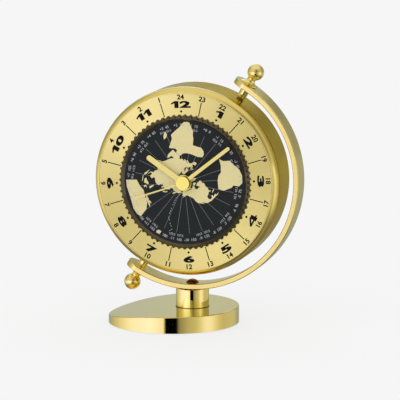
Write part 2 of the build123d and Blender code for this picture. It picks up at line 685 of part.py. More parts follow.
def wheel(teeth, module, layer, phase):
    tip_radius = module * (teeth / 2 + TOOTH_ADDENDUM_RATIO)
    root_radius = module * (teeth / 2 - TOOTH_DEDENDUM_RATIO)
    outline = tooth_outline(teeth, tip_radius, root_radius, TOOTH_TIP_RATIO, TOOTH_ROOT_RATIO, phase)
    return slab(outline, *layer)


def meshing_phase(phase, teeth, direction, mate_teeth):
    # The mate stands in the given direction and has a gap where this wheel has a tooth
    share = (phase - direction) * teeth / 360
    return direction + 180 - (share + 0.5) * 360 / mate_teeth


def polar(distance, direction):
    return distance * cos(radians(direction)), distance * sin(radians(direction))


def module_for(distance, teeth, mate_teeth):
    return 2 * distance / (teeth + mate_teeth)


def direction_of(start, end):
    return degrees(atan2(end[1] - start[1], end[0] - start[0]))


CENTRE = (0, 0)
INTERMEDIATE = polar(INTERMEDIATE_DISTANCE, INTERMEDIATE_DIRECTION)
ROTOR_STEP = polar(ROTOR_DISTANCE, ROTOR_DIRECTION)
ROTOR = (INTERMEDIATE[0] + ROTOR_STEP[0], INTERMEDIATE[1] + ROTOR_STEP[1])
THIRD = polar(THIRD_DISTANCE, THIRD_DIRECTION)
MINUTE_WHEEL = polar(MOTION_DISTANCE, MINUTE_WHEEL_DIRECTION)
KNOB_MODULE = module_for(MOTION_DISTANCE, CANNON_TEETH, MINUTE_WHEEL_TEETH)
KNOB_STEP = polar(KNOB_MODULE * (MINUTE_WHEEL_TEETH + KNOB_PINION_TEETH) / 2, KNOB_DIRECTION)
KNOB = (MINUTE_WHEEL[0] + KNOB_STEP[0], MINUTE_WHEEL[1] + KNOB_STEP[1])
IDLER_MODULE = module_for(MOTION_DISTANCE, REVERSE_WHEEL_TEETH, IDLER_TEETH)
IDLER_A = polar(MOTION_DISTANCE, IDLER_DIRECTION)
IDLER_STEP = IDLER_MODULE * IDLER_TEETH
DAY_DISTANCE = IDLER_MODULE * (DAY_WHEEL_TEETH + IDLER_TEETH) / 2
IDLER_SPREAD = MOTION_DISTANCE**2 + DAY_DISTANCE**2 - IDLER_STEP**2
IDLER_TURN = acos(IDLER_SPREAD / (2 * MOTION_DISTANCE * DAY_DISTANCE))
IDLER_B = polar(DAY_DISTANCE, IDLER_DIRECTION + degrees(IDLER_TURN))


def train_arbor(shape, place):
    low = HOUSING_REAR - PIVOT_DEPTH
    high = TRAIN_PLATE_REAR + PIVOT_DEPTH
    return IN_HEAD * at(place) * (shape + rod(ARBOR_RADIUS, low, high))


def make_rotor():
    module = module_for(ROTOR_DISTANCE, TRAIN_PINION_TEETH, ROTOR_WHEEL_TEETH)
    pinion = wheel(TRAIN_PINION_TEETH, module, train_layer(ROTOR_LAYER), 0)
    magnet = rod(MAGNET_RADIUS, *train_layer(SECOND_LAYER))
    return train_arbor(pinion + magnet, ROTOR)


def make_intermediate_wheel():
    large_module = module_for(ROTOR_DISTANCE, TRAIN_PINION_TEETH, ROTOR_WHEEL_TEETH)
    small_module = module_for(INTERMEDIATE_DISTANCE, TRAIN_PINION_TEETH, SECOND_WHEEL_TEETH)
    phase = meshing_phase(0, TRAIN_PINION_TEETH, direction_of(ROTOR, INTERMEDIATE), ROTOR_WHEEL_TEETH)
    large = wheel(ROTOR_WHEEL_TEETH, large_module, train_layer(ROTOR_LAYER), phase)
    small = wheel(TRAIN_PINION_TEETH, small_module, train_layer(SECOND_LAYER), 0)
    return train_arbor(large + small, INTERMEDIATE)


def make_second_wheel():
    large_module = module_for(INTERMEDIATE_DISTANCE, TRAIN_PINION_TEETH, SECOND_WHEEL_TEETH)
    small_module = module_for(THIRD_DISTANCE, TRAIN_PINION_TEETH, THIRD_WHEEL_TEETH)
    phase = meshing_phase(0, TRAIN_PINION_TEETH, direction_of(INTERMEDIATE, CENTRE), SECOND_WHEEL_TEETH)
    large = wheel(SECOND_WHEEL_TEETH, large_module, train_layer(SECOND_LAYER), phase)
    small = wheel(TRAIN_PINION_TEETH, small_module, train_layer(THIRD_LAYER), 0)
    arbor = rod(ARBOR_RADIUS, HOUSING_REAR - PIVOT_DEPTH, SECOND_FACE + CAP_BORE_DEPTH)
    return IN_HEAD * (large + small + arbor)


def make_third_wheel():
    large_module = module_for(THIRD_DISTANCE, TRAIN_PINION_TEETH, THIRD_WHEEL_TEETH)
    small_module = module_for(THIRD_DISTANCE, TRAIN_PINION_TEETH, CENTRE_WHEEL_TEETH)
    phase = meshing_phase(0, TRAIN_PINION_TEETH, direction_of(CENTRE, THIRD), THIRD_WHEEL_TEETH)
    large = wheel(THIRD_WHEEL_TEETH, large_module, train_layer(THIRD_LAYER), phase)
    small = wheel(TRAIN_PINION_TEETH, small_module, train_layer(CENTRE_LAYER), 0)
    return train_arbor(large + small, THIRD)


def make_centre_wheel():
    module = module_for(THIRD_DISTANCE, TRAIN_PINION_TEETH, CENTRE_WHEEL_TEETH)
    phase = meshing_phase(0, TRAIN_PINION_TEETH, direction_of(THIRD, CENTRE), CENTRE_WHEEL_TEETH)
    ring = wheel(CENTRE_WHEEL_TEETH, module, train_layer(CENTRE_LAYER), phase)
    return IN_HEAD * (ring - rod(CANNON_RADIUS + RUNNING_FIT, *train_layer(CENTRE_LAYER)))


def make_cannon_pinion():
    module = module_for(MOTION_DISTANCE, CANNON_TEETH, MINUTE_WHEEL_TEETH)
    low = train_layer(CENTRE_LAYER)[0]
    pinion = wheel(CANNON_TEETH, module, motion_layer(MINUTE_LAYER), 0)
    pinion += rod(CANNON_RADIUS, low, MINUTE_FACE)
    return IN_HEAD * (pinion - rod(CANNON_BORE, low, MINUTE_FACE))


def minute_wheel_phase():
    return meshing_phase(0, CANNON_TEETH, direction_of(CENTRE, MINUTE_WHEEL), MINUTE_WHEEL_TEETH)


def make_minute_wheel():
    large_module = module_for(MOTION_DISTANCE, CANNON_TEETH, MINUTE_WHEEL_TEETH)
    small_module = module_for(MOTION_DISTANCE, MINUTE_PINION_TEETH, HOUR_WHEEL_TEETH)
    large = wheel(MINUTE_WHEEL_TEETH, large_module, motion_layer(MINUTE_LAYER), minute_wheel_phase())
    low, step = motion_layer(MINUTE_LAYER)
    high = motion_layer(HOUR_LAYER)[1]
    small = wheel(MINUTE_PINION_TEETH, small_module, (step, high), 0)
    return IN_HEAD * at(MINUTE_WHEEL) * (large + small - rod(POST_RADIUS + RUNNING_FIT, low, high))


def make_hour_wheel():
    module = module_for(MOTION_DISTANCE, MINUTE_PINION_TEETH, HOUR_WHEEL_TEETH)
    phase = meshing_phase(0, MINUTE_PINION_TEETH, direction_of(MINUTE_WHEEL, CENTRE), HOUR_WHEEL_TEETH)
    reverse_phase = meshing_phase(0, IDLER_TEETH, direction_of(IDLER_A, CENTRE), REVERSE_WHEEL_TEETH)
    low, step = motion_layer(HOUR_LAYER)
    high = motion_layer(REVERSE_LAYER)[1]
    hours = wheel(HOUR_WHEEL_TEETH, module, (low, step), phase)
    hours += wheel(REVERSE_WHEEL_TEETH, IDLER_MODULE, (step, high), reverse_phase)
    hours += rod(HOUR_RADIUS, low, HOUR_FACE)
    return IN_HEAD * (hours - rod(HOUR_BORE, low, HOUR_FACE))


def make_idler(place, first_layer, last_layer, phase):
    low = motion_layer(first_layer)[0]
    high = motion_layer(last_layer)[1]
    idler = wheel(IDLER_TEETH, IDLER_MODULE, (low, high), phase)
    idler -= rod(POST_RADIUS + RUNNING_FIT, low, high)
    return IN_HEAD * at(place) * idler


def idler_b_phase():
    return meshing_phase(0, IDLER_TEETH, direction_of(IDLER_A, IDLER_B), IDLER_TEETH)


def make_day_wheel():
    phase = meshing_phase(idler_b_phase(), IDLER_TEETH, direction_of(IDLER_B, CENTRE), DAY_WHEEL_TEETH)
    low = motion_layer(DAY_LAYER)[0]
    days = wheel(DAY_WHEEL_TEETH, IDLER_MODULE, motion_layer(DAY_LAYER), phase)
    days += rod(DAY_RADIUS, low, DISC_FACE)
    return IN_HEAD * (days - rod(DAY_BORE, low, DISC_FACE))


def make_setting_knob():
    grip_front = COVER_BACK - KNOB_GAP
    grip_back = grip_front - KNOB_HEIGHT
    grip = rod(KNOB_RADIUS, grip_back, grip_front)
    for place in PolarLocations(KNOB_RADIUS, KNOB_GROOVE_COUNT).locations:
        grip -= place * rod(KNOB_GROOVE_RADIUS, grip_back, grip_front)
    phase = meshing_phase(
        minute_wheel_phase(), MINUTE_WHEEL_TEETH, direction_of(MINUTE_WHEEL, KNOB), KNOB_PINION_TEETH
    )
    shaft = rod(KNOB_SHAFT_RADIUS, grip_front, motion_layer(MINUTE_LAYER)[0])
    pinion = wheel(KNOB_PINION_TEETH, KNOB_MODULE, motion_layer(MINUTE_LAYER), phase)
    return IN_HEAD * at(KNOB) * (grip + shaft + pinion)


# World disc and hands


def make_world_disc():
    return IN_HEAD * tube(DISC_RADIUS, DAY_RADIUS + ROUND_SEAT_GAP, DISC_BACK, DISC_FACE)


def make_disc_rim():
    # A ring with a ridge: smooth towards the disc, toothed where it falls outwards to the dial
    bore = DISC_RADIUS + ROUND_SEAT_GAP
    root_radius = DISC_RADIUS + RIM_WIDTH
    tip_radius = root_radius + RIM_TOOTH_HEIGHT
    edge_face = DISC_BACK + RIM_EDGE
    roof = turned_points(
        (bore, DISC_BACK),
        (tip_radius, DISC_BACK),
        (tip_radius, edge_face),
        (DISC_RADIUS + RIM_RIDGE, RIM_FACE),
        (bore, DISC_FACE),
    )
    shares = (RIM_TOOTH_TIP_RATIO, RIM_TOOTH_ROOT_RATIO)
    teeth = slab(tooth_outline(RIM_TEETH, tip_radius, root_radius, *shares, 0), DISC_BACK, RIM_FACE)
    skirt = tube(DISC_RADIUS + RIM_SKIRT, bore, DISC_BACK, edge_face)
    return IN_HEAD * ((roof & teeth) + skirt)


def make_hand(length, width, boss_radius, bore, layer, angle):
    # A straight blade with a round tip, turned clockwise from twelve
    tail = width / 2
    blade = Pos(0, (length - tail) / 2) * SlotOverall(length + tail, width, rotation=90)
    hand = Circle(boss_radius) + blade - Circle(bore + ROUND_SEAT_GAP)
    return IN_HEAD * Rot(0, 0, -angle) * slab(hand, *layer)


def make_hour_hand():
    layer = (HOUR_BACK, HOUR_FACE)
    size = (HOUR_HAND_LENGTH, HOUR_HAND_WIDTH, HOUR_BOSS_RADIUS)
    return make_hand(*size, HOUR_RADIUS, layer, HOUR_HAND_ANGLE)


def make_minute_hand():
    layer = (MINUTE_BACK, MINUTE_FACE)
    size = (MINUTE_HAND_LENGTH, MINUTE_HAND_WIDTH, MINUTE_BOSS_RADIUS)
    return make_hand(*size, CANNON_RADIUS, layer, MINUTE_HAND_ANGLE)


def make_second_hand():
    layer = (SECOND_BACK, SECOND_FACE)
    size = (SECOND_HAND_LENGTH, SECOND_HAND_WIDTH, SECOND_BOSS_RADIUS)
    return make_hand(*size, ARBOR_RADIUS, layer, SECOND_HAND_ANGLE)


def make_hub_cap():
    cap = rod(CAP_RADIUS, SECOND_FACE, CAP_FACE)
    cap = fillet(cap.edges().sort_by(Axis.Z)[-1], CAP_ROUND)
    bore = rod(ARBOR_RADIUS + ROUND_SEAT_GAP, SECOND_FACE, SECOND_FACE + CAP_BORE_DEPTH)
    return IN_HEAD * (cap - bore)


# Movement housing, train plate, motor and circuit


def housing_outline(inset):
    width = 2 * (HOUSING_HALF_WIDTH - inset)
    height = HOUSING_TOP + HOUSING_BOTTOM - 2 * inset
    middle = (HOUSING_TOP - HOUSING_BOTTOM) / 2
    return Pos(0, middle) * RectangleRounded(width, height, HOUSING_CORNER - inset)


def make_movement_front():
    front = slab(housing_outline(0), HOUSING_REAR, DIAL_BACK)
    front -= slab(housing_outline(HOUSING_WALL), HOUSING_REAR, DIAL_BACK - FRONT_WALL)
    reach = DIAL_FOOT_X + LUG_REACH
    lugs = Pos(0, DIAL_FOOT_Y) * RectangleRounded(2 * reach, LUG_WIDTH, DIAL_FOOT_RADIUS)
    lugs -= housing_outline(HOUSING_WALL / 2)
    front += slab(lugs, DIAL_BACK - LUG_THICKNESS, DIAL_BACK)
    front += rod(CENTRE_BUSH_RADIUS, DIAL_BACK - FRONT_WALL, DIAL_FACE - CENTRE_BUSH_SHY)
    front -= rod(BUSH_BORE, DIAL_BACK - FRONT_WALL, DIAL_FACE)
    for place in dial_foot_places():
        front -= place * rod(DIAL_FOOT_RADIUS + SEAT_FIT, DIAL_BACK - LUG_THICKNESS, DIAL_BACK)
    return IN_HEAD * front


def make_movement_rear():
    rear = slab(housing_outline(0), HOUSING_REAR - REAR_PLATE, HOUSING_REAR)
    back = HOUSING_REAR - REAR_PLATE
    for place in (CENTRE, INTERMEDIATE, ROTOR, THIRD):
        rear -= at(place) * rod(ARBOR_RADIUS + RUNNING_FIT, back, HOUSING_REAR)
    rear -= at(KNOB) * rod(KNOB_SHAFT_RADIUS + RUNNING_FIT, back, HOUSING_REAR)
    return IN_HEAD * rear


def make_train_plate():
    outline = housing_outline(HOUSING_WALL + SEAT_FIT) - Circle(CANNON_RADIUS + RUNNING_FIT)
    outline -= at(KNOB) * Circle(KNOB_SHAFT_RADIUS + RUNNING_FIT)
    for place in (INTERMEDIATE, ROTOR, THIRD):
        outline -= at(place) * Circle(ARBOR_RADIUS + RUNNING_FIT)
    plate = slab(outline, TRAIN_PLATE_REAR, TRAIN_PLATE_FRONT)
    for place, layer in ((MINUTE_WHEEL, HOUR_LAYER), (IDLER_A, IDLER_LAYER), (IDLER_B, DAY_LAYER)):
        plate += at(place) * rod(POST_RADIUS, TRAIN_PLATE_FRONT, motion_layer(layer)[1])
    return IN_HEAD * plate


STATOR_BOTTOM = -HOUSING_BOTTOM + HOUSING_WALL + STATOR_MARGIN
STATOR_RIGHT = HOUSING_HALF_WIDTH - HOUSING_WALL - STATOR_SIDE_GAP
COIL_START = STATOR_RIGHT - STATOR_END - COIL_LENGTH
COIL_Y = (STATOR_BOTTOM + STATOR_TOP) / 2
COIL_Z = HOUSING_REAR + COIL_RADIUS + COIL_FLANGE_STAND + SEAT_FIT
BOARD_WIDTH = 2 * (HOUSING_HALF_WIDTH - HOUSING_WALL - BOARD_SIDE_GAP)
BOARD_MIDDLE = HOUSING_TOP - HOUSING_WALL - BOARD_TOP_GAP - BOARD_HEIGHT / 2


def make_stator():
    middle = (STATOR_LEFT + STATOR_RIGHT) / 2
    plate = Pos(middle, COIL_Y) * Rectangle(STATOR_RIGHT - STATOR_LEFT, STATOR_TOP - STATOR_BOTTOM)
    window_half = COIL_RADIUS + COIL_FLANGE_STAND + COIL_WINDOW_GAP
    window_length = COIL_LENGTH + 2 * COIL_WINDOW_GAP
    plate -= Pos(COIL_START + COIL_LENGTH / 2, COIL_Y) * Rectangle(window_length, 2 * window_half)
    plate -= at(ROTOR) * Circle(MAGNET_RADIUS + STATOR_BORE_GAP)
    low = COIL_Z - STATOR_THICKNESS / 2
    return IN_HEAD * slab(plate, low, low + STATOR_THICKNESS)


def make_coil():
    flange = COIL_RADIUS + COIL_FLANGE_STAND
    coil = rod(COIL_RADIUS, 0, COIL_LENGTH) + rod(flange, 0, COIL_FLANGE)
    coil += rod(flange, COIL_LENGTH - COIL_FLANGE, COIL_LENGTH)
    return IN_HEAD * Pos(COIL_START, COIL_Y, COIL_Z) * Rot(0, 90, 0) * coil


def make_circuit_board():
    board_front = HOUSING_REAR + BOARD_THICKNESS
    board = slab(Rectangle(BOARD_WIDTH, BOARD_HEIGHT), HOUSING_REAR, board_front)
    board += slab(Rectangle(CHIP_SIZE, CHIP_SIZE), board_front, board_front + CHIP_HEIGHT)
    can = Pos(CRYSTAL_CAN_X, 0, board_front + CRYSTAL_CAN_RADIUS / 2) * Rot(0, 90, 0)
    board += can * rod(CRYSTAL_CAN_RADIUS, 0, CRYSTAL_CAN_LENGTH)
    return IN_HEAD * Pos(0, BOARD_MIDDLE, 0) * board


os.makedirs("parts", exist_ok=True)

write("base", make_base())
write("base_pad", make_base_pad())
write("pillar", make_pillar())
write("pillar_screw", make_pillar_screw())
write("arm", make_arm())
write("arm_screw", make_arm_screw())
pivots = (("upper", UPPER_PIVOT, -ARM_ALONG_AXIS), ("lower", LOWER_PIVOT, ARM_ALONG_AXIS))
for side, place, arm_centre in pivots:
    write(f"{side}_pivot_pin", place * make_pivot_pin(arm_centre))
    write(f"{side}_pin_clip", place * make_pin_clip())
    write(f"{side}_pivot_bush", place * make_pivot_bush())
    write(f"{side}_friction_washer", place * make_friction_washer())
    write(f"{side}_finial", place * make_finial(arm_centre))

write("case", make_case())
write("bezel", make_bezel())
write("dial_plate", make_dial_plate())
write("push_nuts", make_push_nuts())
write("rear_cover", make_rear_cover())
write("cover_screws", make_cover_screws())
write("battery_tray", make_battery_tray())
write("battery", make_battery())
write("battery_contacts", make_battery_contacts())
write("battery_door", make_battery_door())

write("movement_front", make_movement_front())
write("movement_rear", make_movement_rear())
write("train_plate", make_train_plate())
write("stator", make_stator())
write("coil", make_coil())
write("circuit_board", make_circuit_board())
write("rotor", make_rotor())
write("intermediate_wheel", make_intermediate_wheel())
write("second_wheel", make_second_wheel())
write("third_wheel", make_third_wheel())
write("centre_wheel", make_centre_wheel())
write("cannon_pinion", make_cannon_pinion())
write("minute_wheel", make_minute_wheel())
write("hour_wheel", make_hour_wheel())
write("reversing_idler_a", make_idler(IDLER_A, REVERSE_LAYER, IDLER_LAYER, 0))
write("reversing_idler_b", make_idler(IDLER_B, IDLER_LAYER, DAY_LAYER, idler_b_phase()))
write("day_wheel", make_day_wheel())
write("setting_knob", make_setting_knob())

write("world_disc", make_world_disc())
write("disc_rim", make_disc_rim())
write("hour_hand", make_hour_hand())
write("minute_hand", make_minute_hand())
write("second_hand", make_second_hand())
write("hub_cap", make_hub_cap())
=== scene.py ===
import math

import bpy
from mathutils import Matrix, Vector


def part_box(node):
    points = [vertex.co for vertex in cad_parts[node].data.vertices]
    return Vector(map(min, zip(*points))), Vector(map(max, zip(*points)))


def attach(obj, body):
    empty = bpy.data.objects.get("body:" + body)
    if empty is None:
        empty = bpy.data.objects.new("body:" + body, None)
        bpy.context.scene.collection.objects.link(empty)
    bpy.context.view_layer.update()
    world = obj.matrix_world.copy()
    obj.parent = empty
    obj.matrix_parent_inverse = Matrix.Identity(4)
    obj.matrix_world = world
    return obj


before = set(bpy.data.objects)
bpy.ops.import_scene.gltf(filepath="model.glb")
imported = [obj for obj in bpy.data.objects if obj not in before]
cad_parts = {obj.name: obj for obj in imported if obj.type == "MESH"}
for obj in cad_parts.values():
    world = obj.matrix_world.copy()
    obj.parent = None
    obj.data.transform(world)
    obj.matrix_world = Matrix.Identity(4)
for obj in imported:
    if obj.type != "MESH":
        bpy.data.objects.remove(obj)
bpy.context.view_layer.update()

MM = 0.001
HALF_TURN = 180
FULL_TURN = 360
EVEN = (1, 1, 1)
WHITE = (1, 1, 1)

# Camera, at the photograph's viewing angle
CAMERA_AZIMUTH = math.radians(15.5)
CAMERA_ELEVATION = math.radians(9.3)
CAMERA_DISTANCE = 1.78
CAMERA_LENS = 267.0
CAMERA_SENSOR = 36.0
AIM_RIGHT = 3.75 * MM
AIM_DOWN = 13.6 * MM

# Studio: pale floor, even light and a weak key light
BACKGROUND = (0.922, 0.922, 0.922, 1)
WORLD_LEVEL = 1.0
FLOOR_SIZE = 40.0
FLOOR_PLAIN_SHARE = 0.8
FLOOR_ROUGHNESS = 1.0
FLOOR_SHINE = 0.0
KEY_POWER = 0.6
KEY_SIZE = 0.7
KEY_PLACE = (-0.7, -0.9, 1.3)

# Tent of panels that only the shine shows: degrees right of the camera, heights as shares of its radius
TENT_RADIUS = 0.9
TENT_HEIGHT = 0.08
TENT_SEGMENTS = 64
TENT_RINGS = 32
TENT_PANELS = (
    (-180, 0.60), (-154, 0.40), (-142, 0.47), (-125, 0.62), (-111, 0.76), (-90, 0.98), (-78, 1.10),
    (-55, 1.14), (-42, 1.18), (-30, 1.10), (-18, 0.98), (8, 0.28), (17, 0.40), (24, 0.51), (38, 0.62),
    (46, 0.78), (53, 0.95), (61, 1.02), (69, 0.98), (78, 0.82), (87, 0.66), (97, 0.58), (121, 0.62),
    (135, 0.58), (146, 0.42), (160, 0.40), (180, 0.60),
)
TENT_GAP = ((-18, 0), (-15, 1), (5, 1), (9, 0))
TENT_GAP_LOW = (-0.52, -0.47, -0.21, -0.17)
TENT_GAP_HIGH = (0.04, 0.06, 0.11, 0.13)
TENT_GAP_SHARE = 0.75
TENT_BACK = ((-152, 1), (-137, 0), (137, 0), (152, 1))
TENT_BACK_BAND = (0.18, 0.23, 0.31, 0.37)
TENT_BACK_LOSS = 0.3
TENT_BACK_RISE = (0.33, 0.40, 0.57, 0.75)
TENT_BACK_GAIN = 1.2
TENT_LIFT = 0.32
TENT_LIFT_BAND = (-0.05, 0.05, 0.10, 0.15)
TENT_DROP = 0.35
TENT_SIDE = ((-75, 1), (-55, 0), (55, 0), (75, 1))
TENT_SIDE_BAND = (-0.02, 0.05)
TENT_ROOF = 0.85
TENT_ROOF_BAND = (math.sin(math.radians(35)), math.sin(math.radians(65)))
TENT_GROUND = 0.35
TENT_GROUND_BAND = (-0.62, -0.30)
TENT_COOL = (1.0, 1.06, 2.4)
TENT_COOL_BAND = (0.60, 1.60)

# Values that finishes share
METAL = 1.0
NOISE_DETAIL = 3.0
NOISE_RANGE = (0.3, 0.7)
GRAIN_STRENGTH = 1.0
GOLD_EDGE = (0.90, 1.0, 1.0)
CASE_EDGE = (0.66, 0.61, 0.38)
RIM_EDGE = (1.0, 0.86, 0.50)
BLACK_EDGE = (1.0, 0.96, 0.66)
BRUSHED_TONES = ((0.87, 0.675, 0.168), (0.84, 0.65, 0.162))
# Turn and count of the painted sheen sectors on the dial
SHEEN_CLOCK = math.radians(-32)
SHEEN_PAIRS = 2

# Values that all print shares
INK_HEIGHT = 0.03 * MM
MERGE_DISTANCE = 0.0001 * MM
READING_MARGIN = 1e-6
LETTER_STEPS = 4
CLOCKWISE = 1
BACKWARDS = -1

# Print on the dial
DIAL_LEAN = math.radians(-3.05)
HOURS = 12
HOURS_IN_DAY = 24
HOUR_RADIUS = 46.5 * MM
HOUR_HEIGHT = 4.2 * MM
HOUR_WIDTH = 6.9 * MM
HOUR_WEIGHT = 0.035
HOUR_SWELL = 0.021
HOUR_GAP = 0.55 * MM
DAY_RADIUS = 51.0 * MM
DAY_HEIGHT = 3.1 * MM
DAY_SPREAD = 1.05
DAY_WEIGHT = 0.015
DAY_SWELL = 0.02
DOT_RADIUS = 42.35 * MM
DOT_SIZE = 0.68 * MM
DOT_SIDES = 20
TICK_INNER = 40.5 * MM
TICK_OUTER = 48.9 * MM
TICK_WIDTH = 0.56 * MM

# Heavy digits drawn as listed outlines, as shares of their height
DRAWN_DIGITS = {
    "1": (((1.10, 0), (1.10, 1), (0.56, 1), (0, 0.72), (0, 0.50), (0.48, 0.67), (0.48, 0)),),
    "4": (
        ((1.00, 0), (1.58, 0), (1.58, 0.20), (1.84, 0.20), (1.84, 0.43), (1.58, 0.43), (1.58, 1), (0.94, 1),
         (0, 0.45), (0, 0.20), (1.00, 0.20)),
        ((1.00, 0.43), (0.47, 0.43), (1.00, 0.75)),
    ),
}

# Painted shadow: a dark ring where the pillar stands on the base, standing in for the shadow line at the
# joint
SHADOW_LINE_WIDTH = 0.25 * MM
SHADOW_LINE_HEIGHT = 0.60 * MM
SHADOW_LINE_SINK = 0.25 * MM
SHADOW_LINE_SIDES = 96

# Setting arrow round the knob on the rear cover
ARROW_GAP = 2.6 * MM
ARROW_WIDTH = 0.6 * MM
ARROW_HEAD = 1.1 * MM
ARROW_REACH = math.radians(62)
ARROW_TIP = math.radians(13)
ARROW_STEPS = 18

# Print on the world disc, a map seen from above the north pole
MAP_TURN = 23.9
MAP_SCALE = 0.265 * MM
POLE = 90
PRINT_RADIUS = 36.6 * MM
MERIDIAN_STEP = 15
LONGITUDES = range(-HALF_TURN, HALF_TURN, MERIDIAN_STEP)
MERIDIAN_INNER = 7.5 * MM
MERIDIAN_OUTER = 30.6 * MM
MERIDIAN_WIDTH = 0.16 * MM
MERIDIAN_THINNESS = 0.4
ZONE_RADIUS = 34.5 * MM
ZONE_HEIGHT = 1.6 * MM
LIMIT_RADIUS = 32.0 * MM
LIMIT_HEIGHT = 1.3 * MM
LABEL_LIFT = 0.01 * MM
LABEL_SWELL = 0.004
DASH_LENGTH = 0.9 * MM
DASH_STEP = 1.5 * MM
DASH_WIDTH = 0.22 * MM

# Lands of the northern half, as degrees east and north
EURASIA = (
    (34.5, 31.5), (36, 36.5), (31, 36.2), (27.5, 37), (26.5, 40), (23, 40.5), (24, 38), (22.5, 36.5),
    (20, 40), (14, 45.3), (12.5, 44.3), (18.3, 40.2), (16, 38), (12, 42), (9, 44.2), (4, 43.3),
    (0, 39.5), (-2, 36.8), (-5.5, 36.1), (-9.2, 37.5), (-9, 43), (-1.5, 43.5), (-1, 45.5), (-4.8, 48.3),
    (1.5, 50.5), (8, 53.8), (8.5, 57.3), (10.5, 54.3), (19, 54.4), (24, 58.7), (30, 60), (22, 60.3),
    (25, 65.2), (21, 64.3), (17.5, 61), (16, 56.5), (13, 55.5), (11, 59), (7, 58), (5, 61.5), (12, 66),
    (19, 70), (28, 71.2), (41, 67), (35, 66.3), (38, 64.3), (44, 66.3), (54, 68.7), (67, 69),
    (67, 72.7), (74, 72), (80, 73.5), (95, 76), (104, 77.8), (113, 74.5), (128, 72.5), (140, 72.5),
    (160, 70), (180, 69), (190, 66), (178, 62.5), (164, 59.8), (162, 55.5), (157, 51.2), (156, 57),
    (163, 62), (153, 59.3), (142, 59.2), (136, 55), (141, 52.5), (135.5, 44), (128, 40), (129.3, 36),
    (126.5, 34.6), (125, 39.5), (121.5, 39.3), (118, 39), (122, 37.2), (119.5, 35), (122, 31),
    (119.5, 25.5), (114, 22.3), (108.5, 21.5), (106, 18.5), (109, 14), (105.5, 8.8), (101, 13),
    (99.5, 9.5), (103.8, 1.5), (98.5, 8.5), (97.5, 16.5), (94.5, 16.5), (91.5, 22.5), (87, 21),
    (80.3, 15.5), (79.8, 10.5), (77.5, 8), (73.5, 16.5), (72.8, 21), (67, 25), (57, 27.3), (52, 28.6),
    (49.5, 31), (48, 28), (51.3, 23.3), (56.3, 24.3), (59.7, 22.5), (55, 17), (45, 12.8), (43, 13.2),
    (41, 19), (37, 25), (34.8, 29.3),
)
NORTH_AMERICA = (
    (-168, 66), (-162, 63), (-166, 60.5), (-158, 58.5), (-163, 55), (-152, 59), (-148, 60.8),
    (-139, 59.5), (-131, 54.5), (-124, 48.5), (-124, 42.5), (-120.5, 34.5), (-115, 29.5), (-110, 23),
    (-113, 31), (-109, 26), (-105.5, 20.5), (-97, 15.7), (-91, 13.8), (-86, 11), (-82.5, 8.3),
    (-79, 8.9), (-83.5, 11), (-83.5, 15.5), (-88.5, 16), (-87.5, 21.3), (-90.7, 20.5), (-92, 18.6),
    (-96, 19), (-97.5, 24), (-95, 29), (-89.5, 29.3), (-84, 30), (-82, 27), (-80.3, 25.3), (-81, 31),
    (-76, 35.2), (-74, 40), (-70, 42), (-65, 44.5), (-65, 48.5), (-60, 50), (-56, 52.5), (-62, 57.5),
    (-65, 60), (-71, 61), (-78, 62.3), (-77.5, 57), (-80, 52), (-83, 55.3), (-92, 57), (-94.5, 60),
    (-87, 64.5), (-82, 69), (-95, 69), (-108, 68), (-120, 69.8), (-128, 70.3), (-141, 69.8),
    (-156, 71.3), (-166, 68.3),
)
GREENLAND = (
    (-45, 60), (-52, 65), (-55, 70), (-68, 76), (-58, 82), (-30, 83.3), (-19, 79), (-22, 72), (-38, 65.5),
)
ISLANDS = (
    ((130.5, 31.5), (131, 34), (137, 35), (140, 36), (142, 39.5), (144.5, 43.3), (141.5, 45.3), (140, 41),
     (136, 36.5)),
    ((120.5, 18), (122, 18.3), (124, 13), (126, 8), (122.5, 7), (121, 13.5)),
    ((109, 1), (113, 3.3), (117, 7), (119, 5), (117.5, 1), (116, -4), (110.5, -2.8)),
    ((95.5, 5.5), (98, 4), (103.5, 0), (105.8, -5.5), (102.5, -4)),
    ((105.5, -6.3), (110.5, -6.4), (114.5, -7.7), (114, -8.8), (106.5, -7.6)),
    ((119.5, 0.5), (125, 1.5), (121.2, -0.5), (123, -4.8), (120.2, -5.3)),
    ((131, -0.8), (135, -3.2), (141, -2.6), (147.5, -6), (150.5, -10.5), (146, -8.7), (138, -8.3),
     (133.5, -4)),
    ((-5.5, 50), (1.3, 51.3), (0, 53.5), (-2, 56), (-3.2, 58.5), (-5.8, 57), (-3.2, 54)),
    ((-10, 52), (-6.2, 52.3), (-6, 55), (-9.8, 54)),
    ((-24, 65.5), (-15, 66.3), (-14, 64.8), (-19, 63.4)),
    ((-84.5, 22), (-80, 23), (-74.5, 20.2), (-77.5, 19.9)),
    ((79.8, 9.5), (81.8, 7), (80.3, 6)),
    ((-85, 66), (-72, 71), (-62, 66.5), (-66, 62.3), (-74, 64.5)),
    ((-117, 73), (-105, 73), (-103, 69.3), (-115, 69.3)),
    ((-90, 81), (-65, 82.5), (-76, 77), (-92, 78)),
)

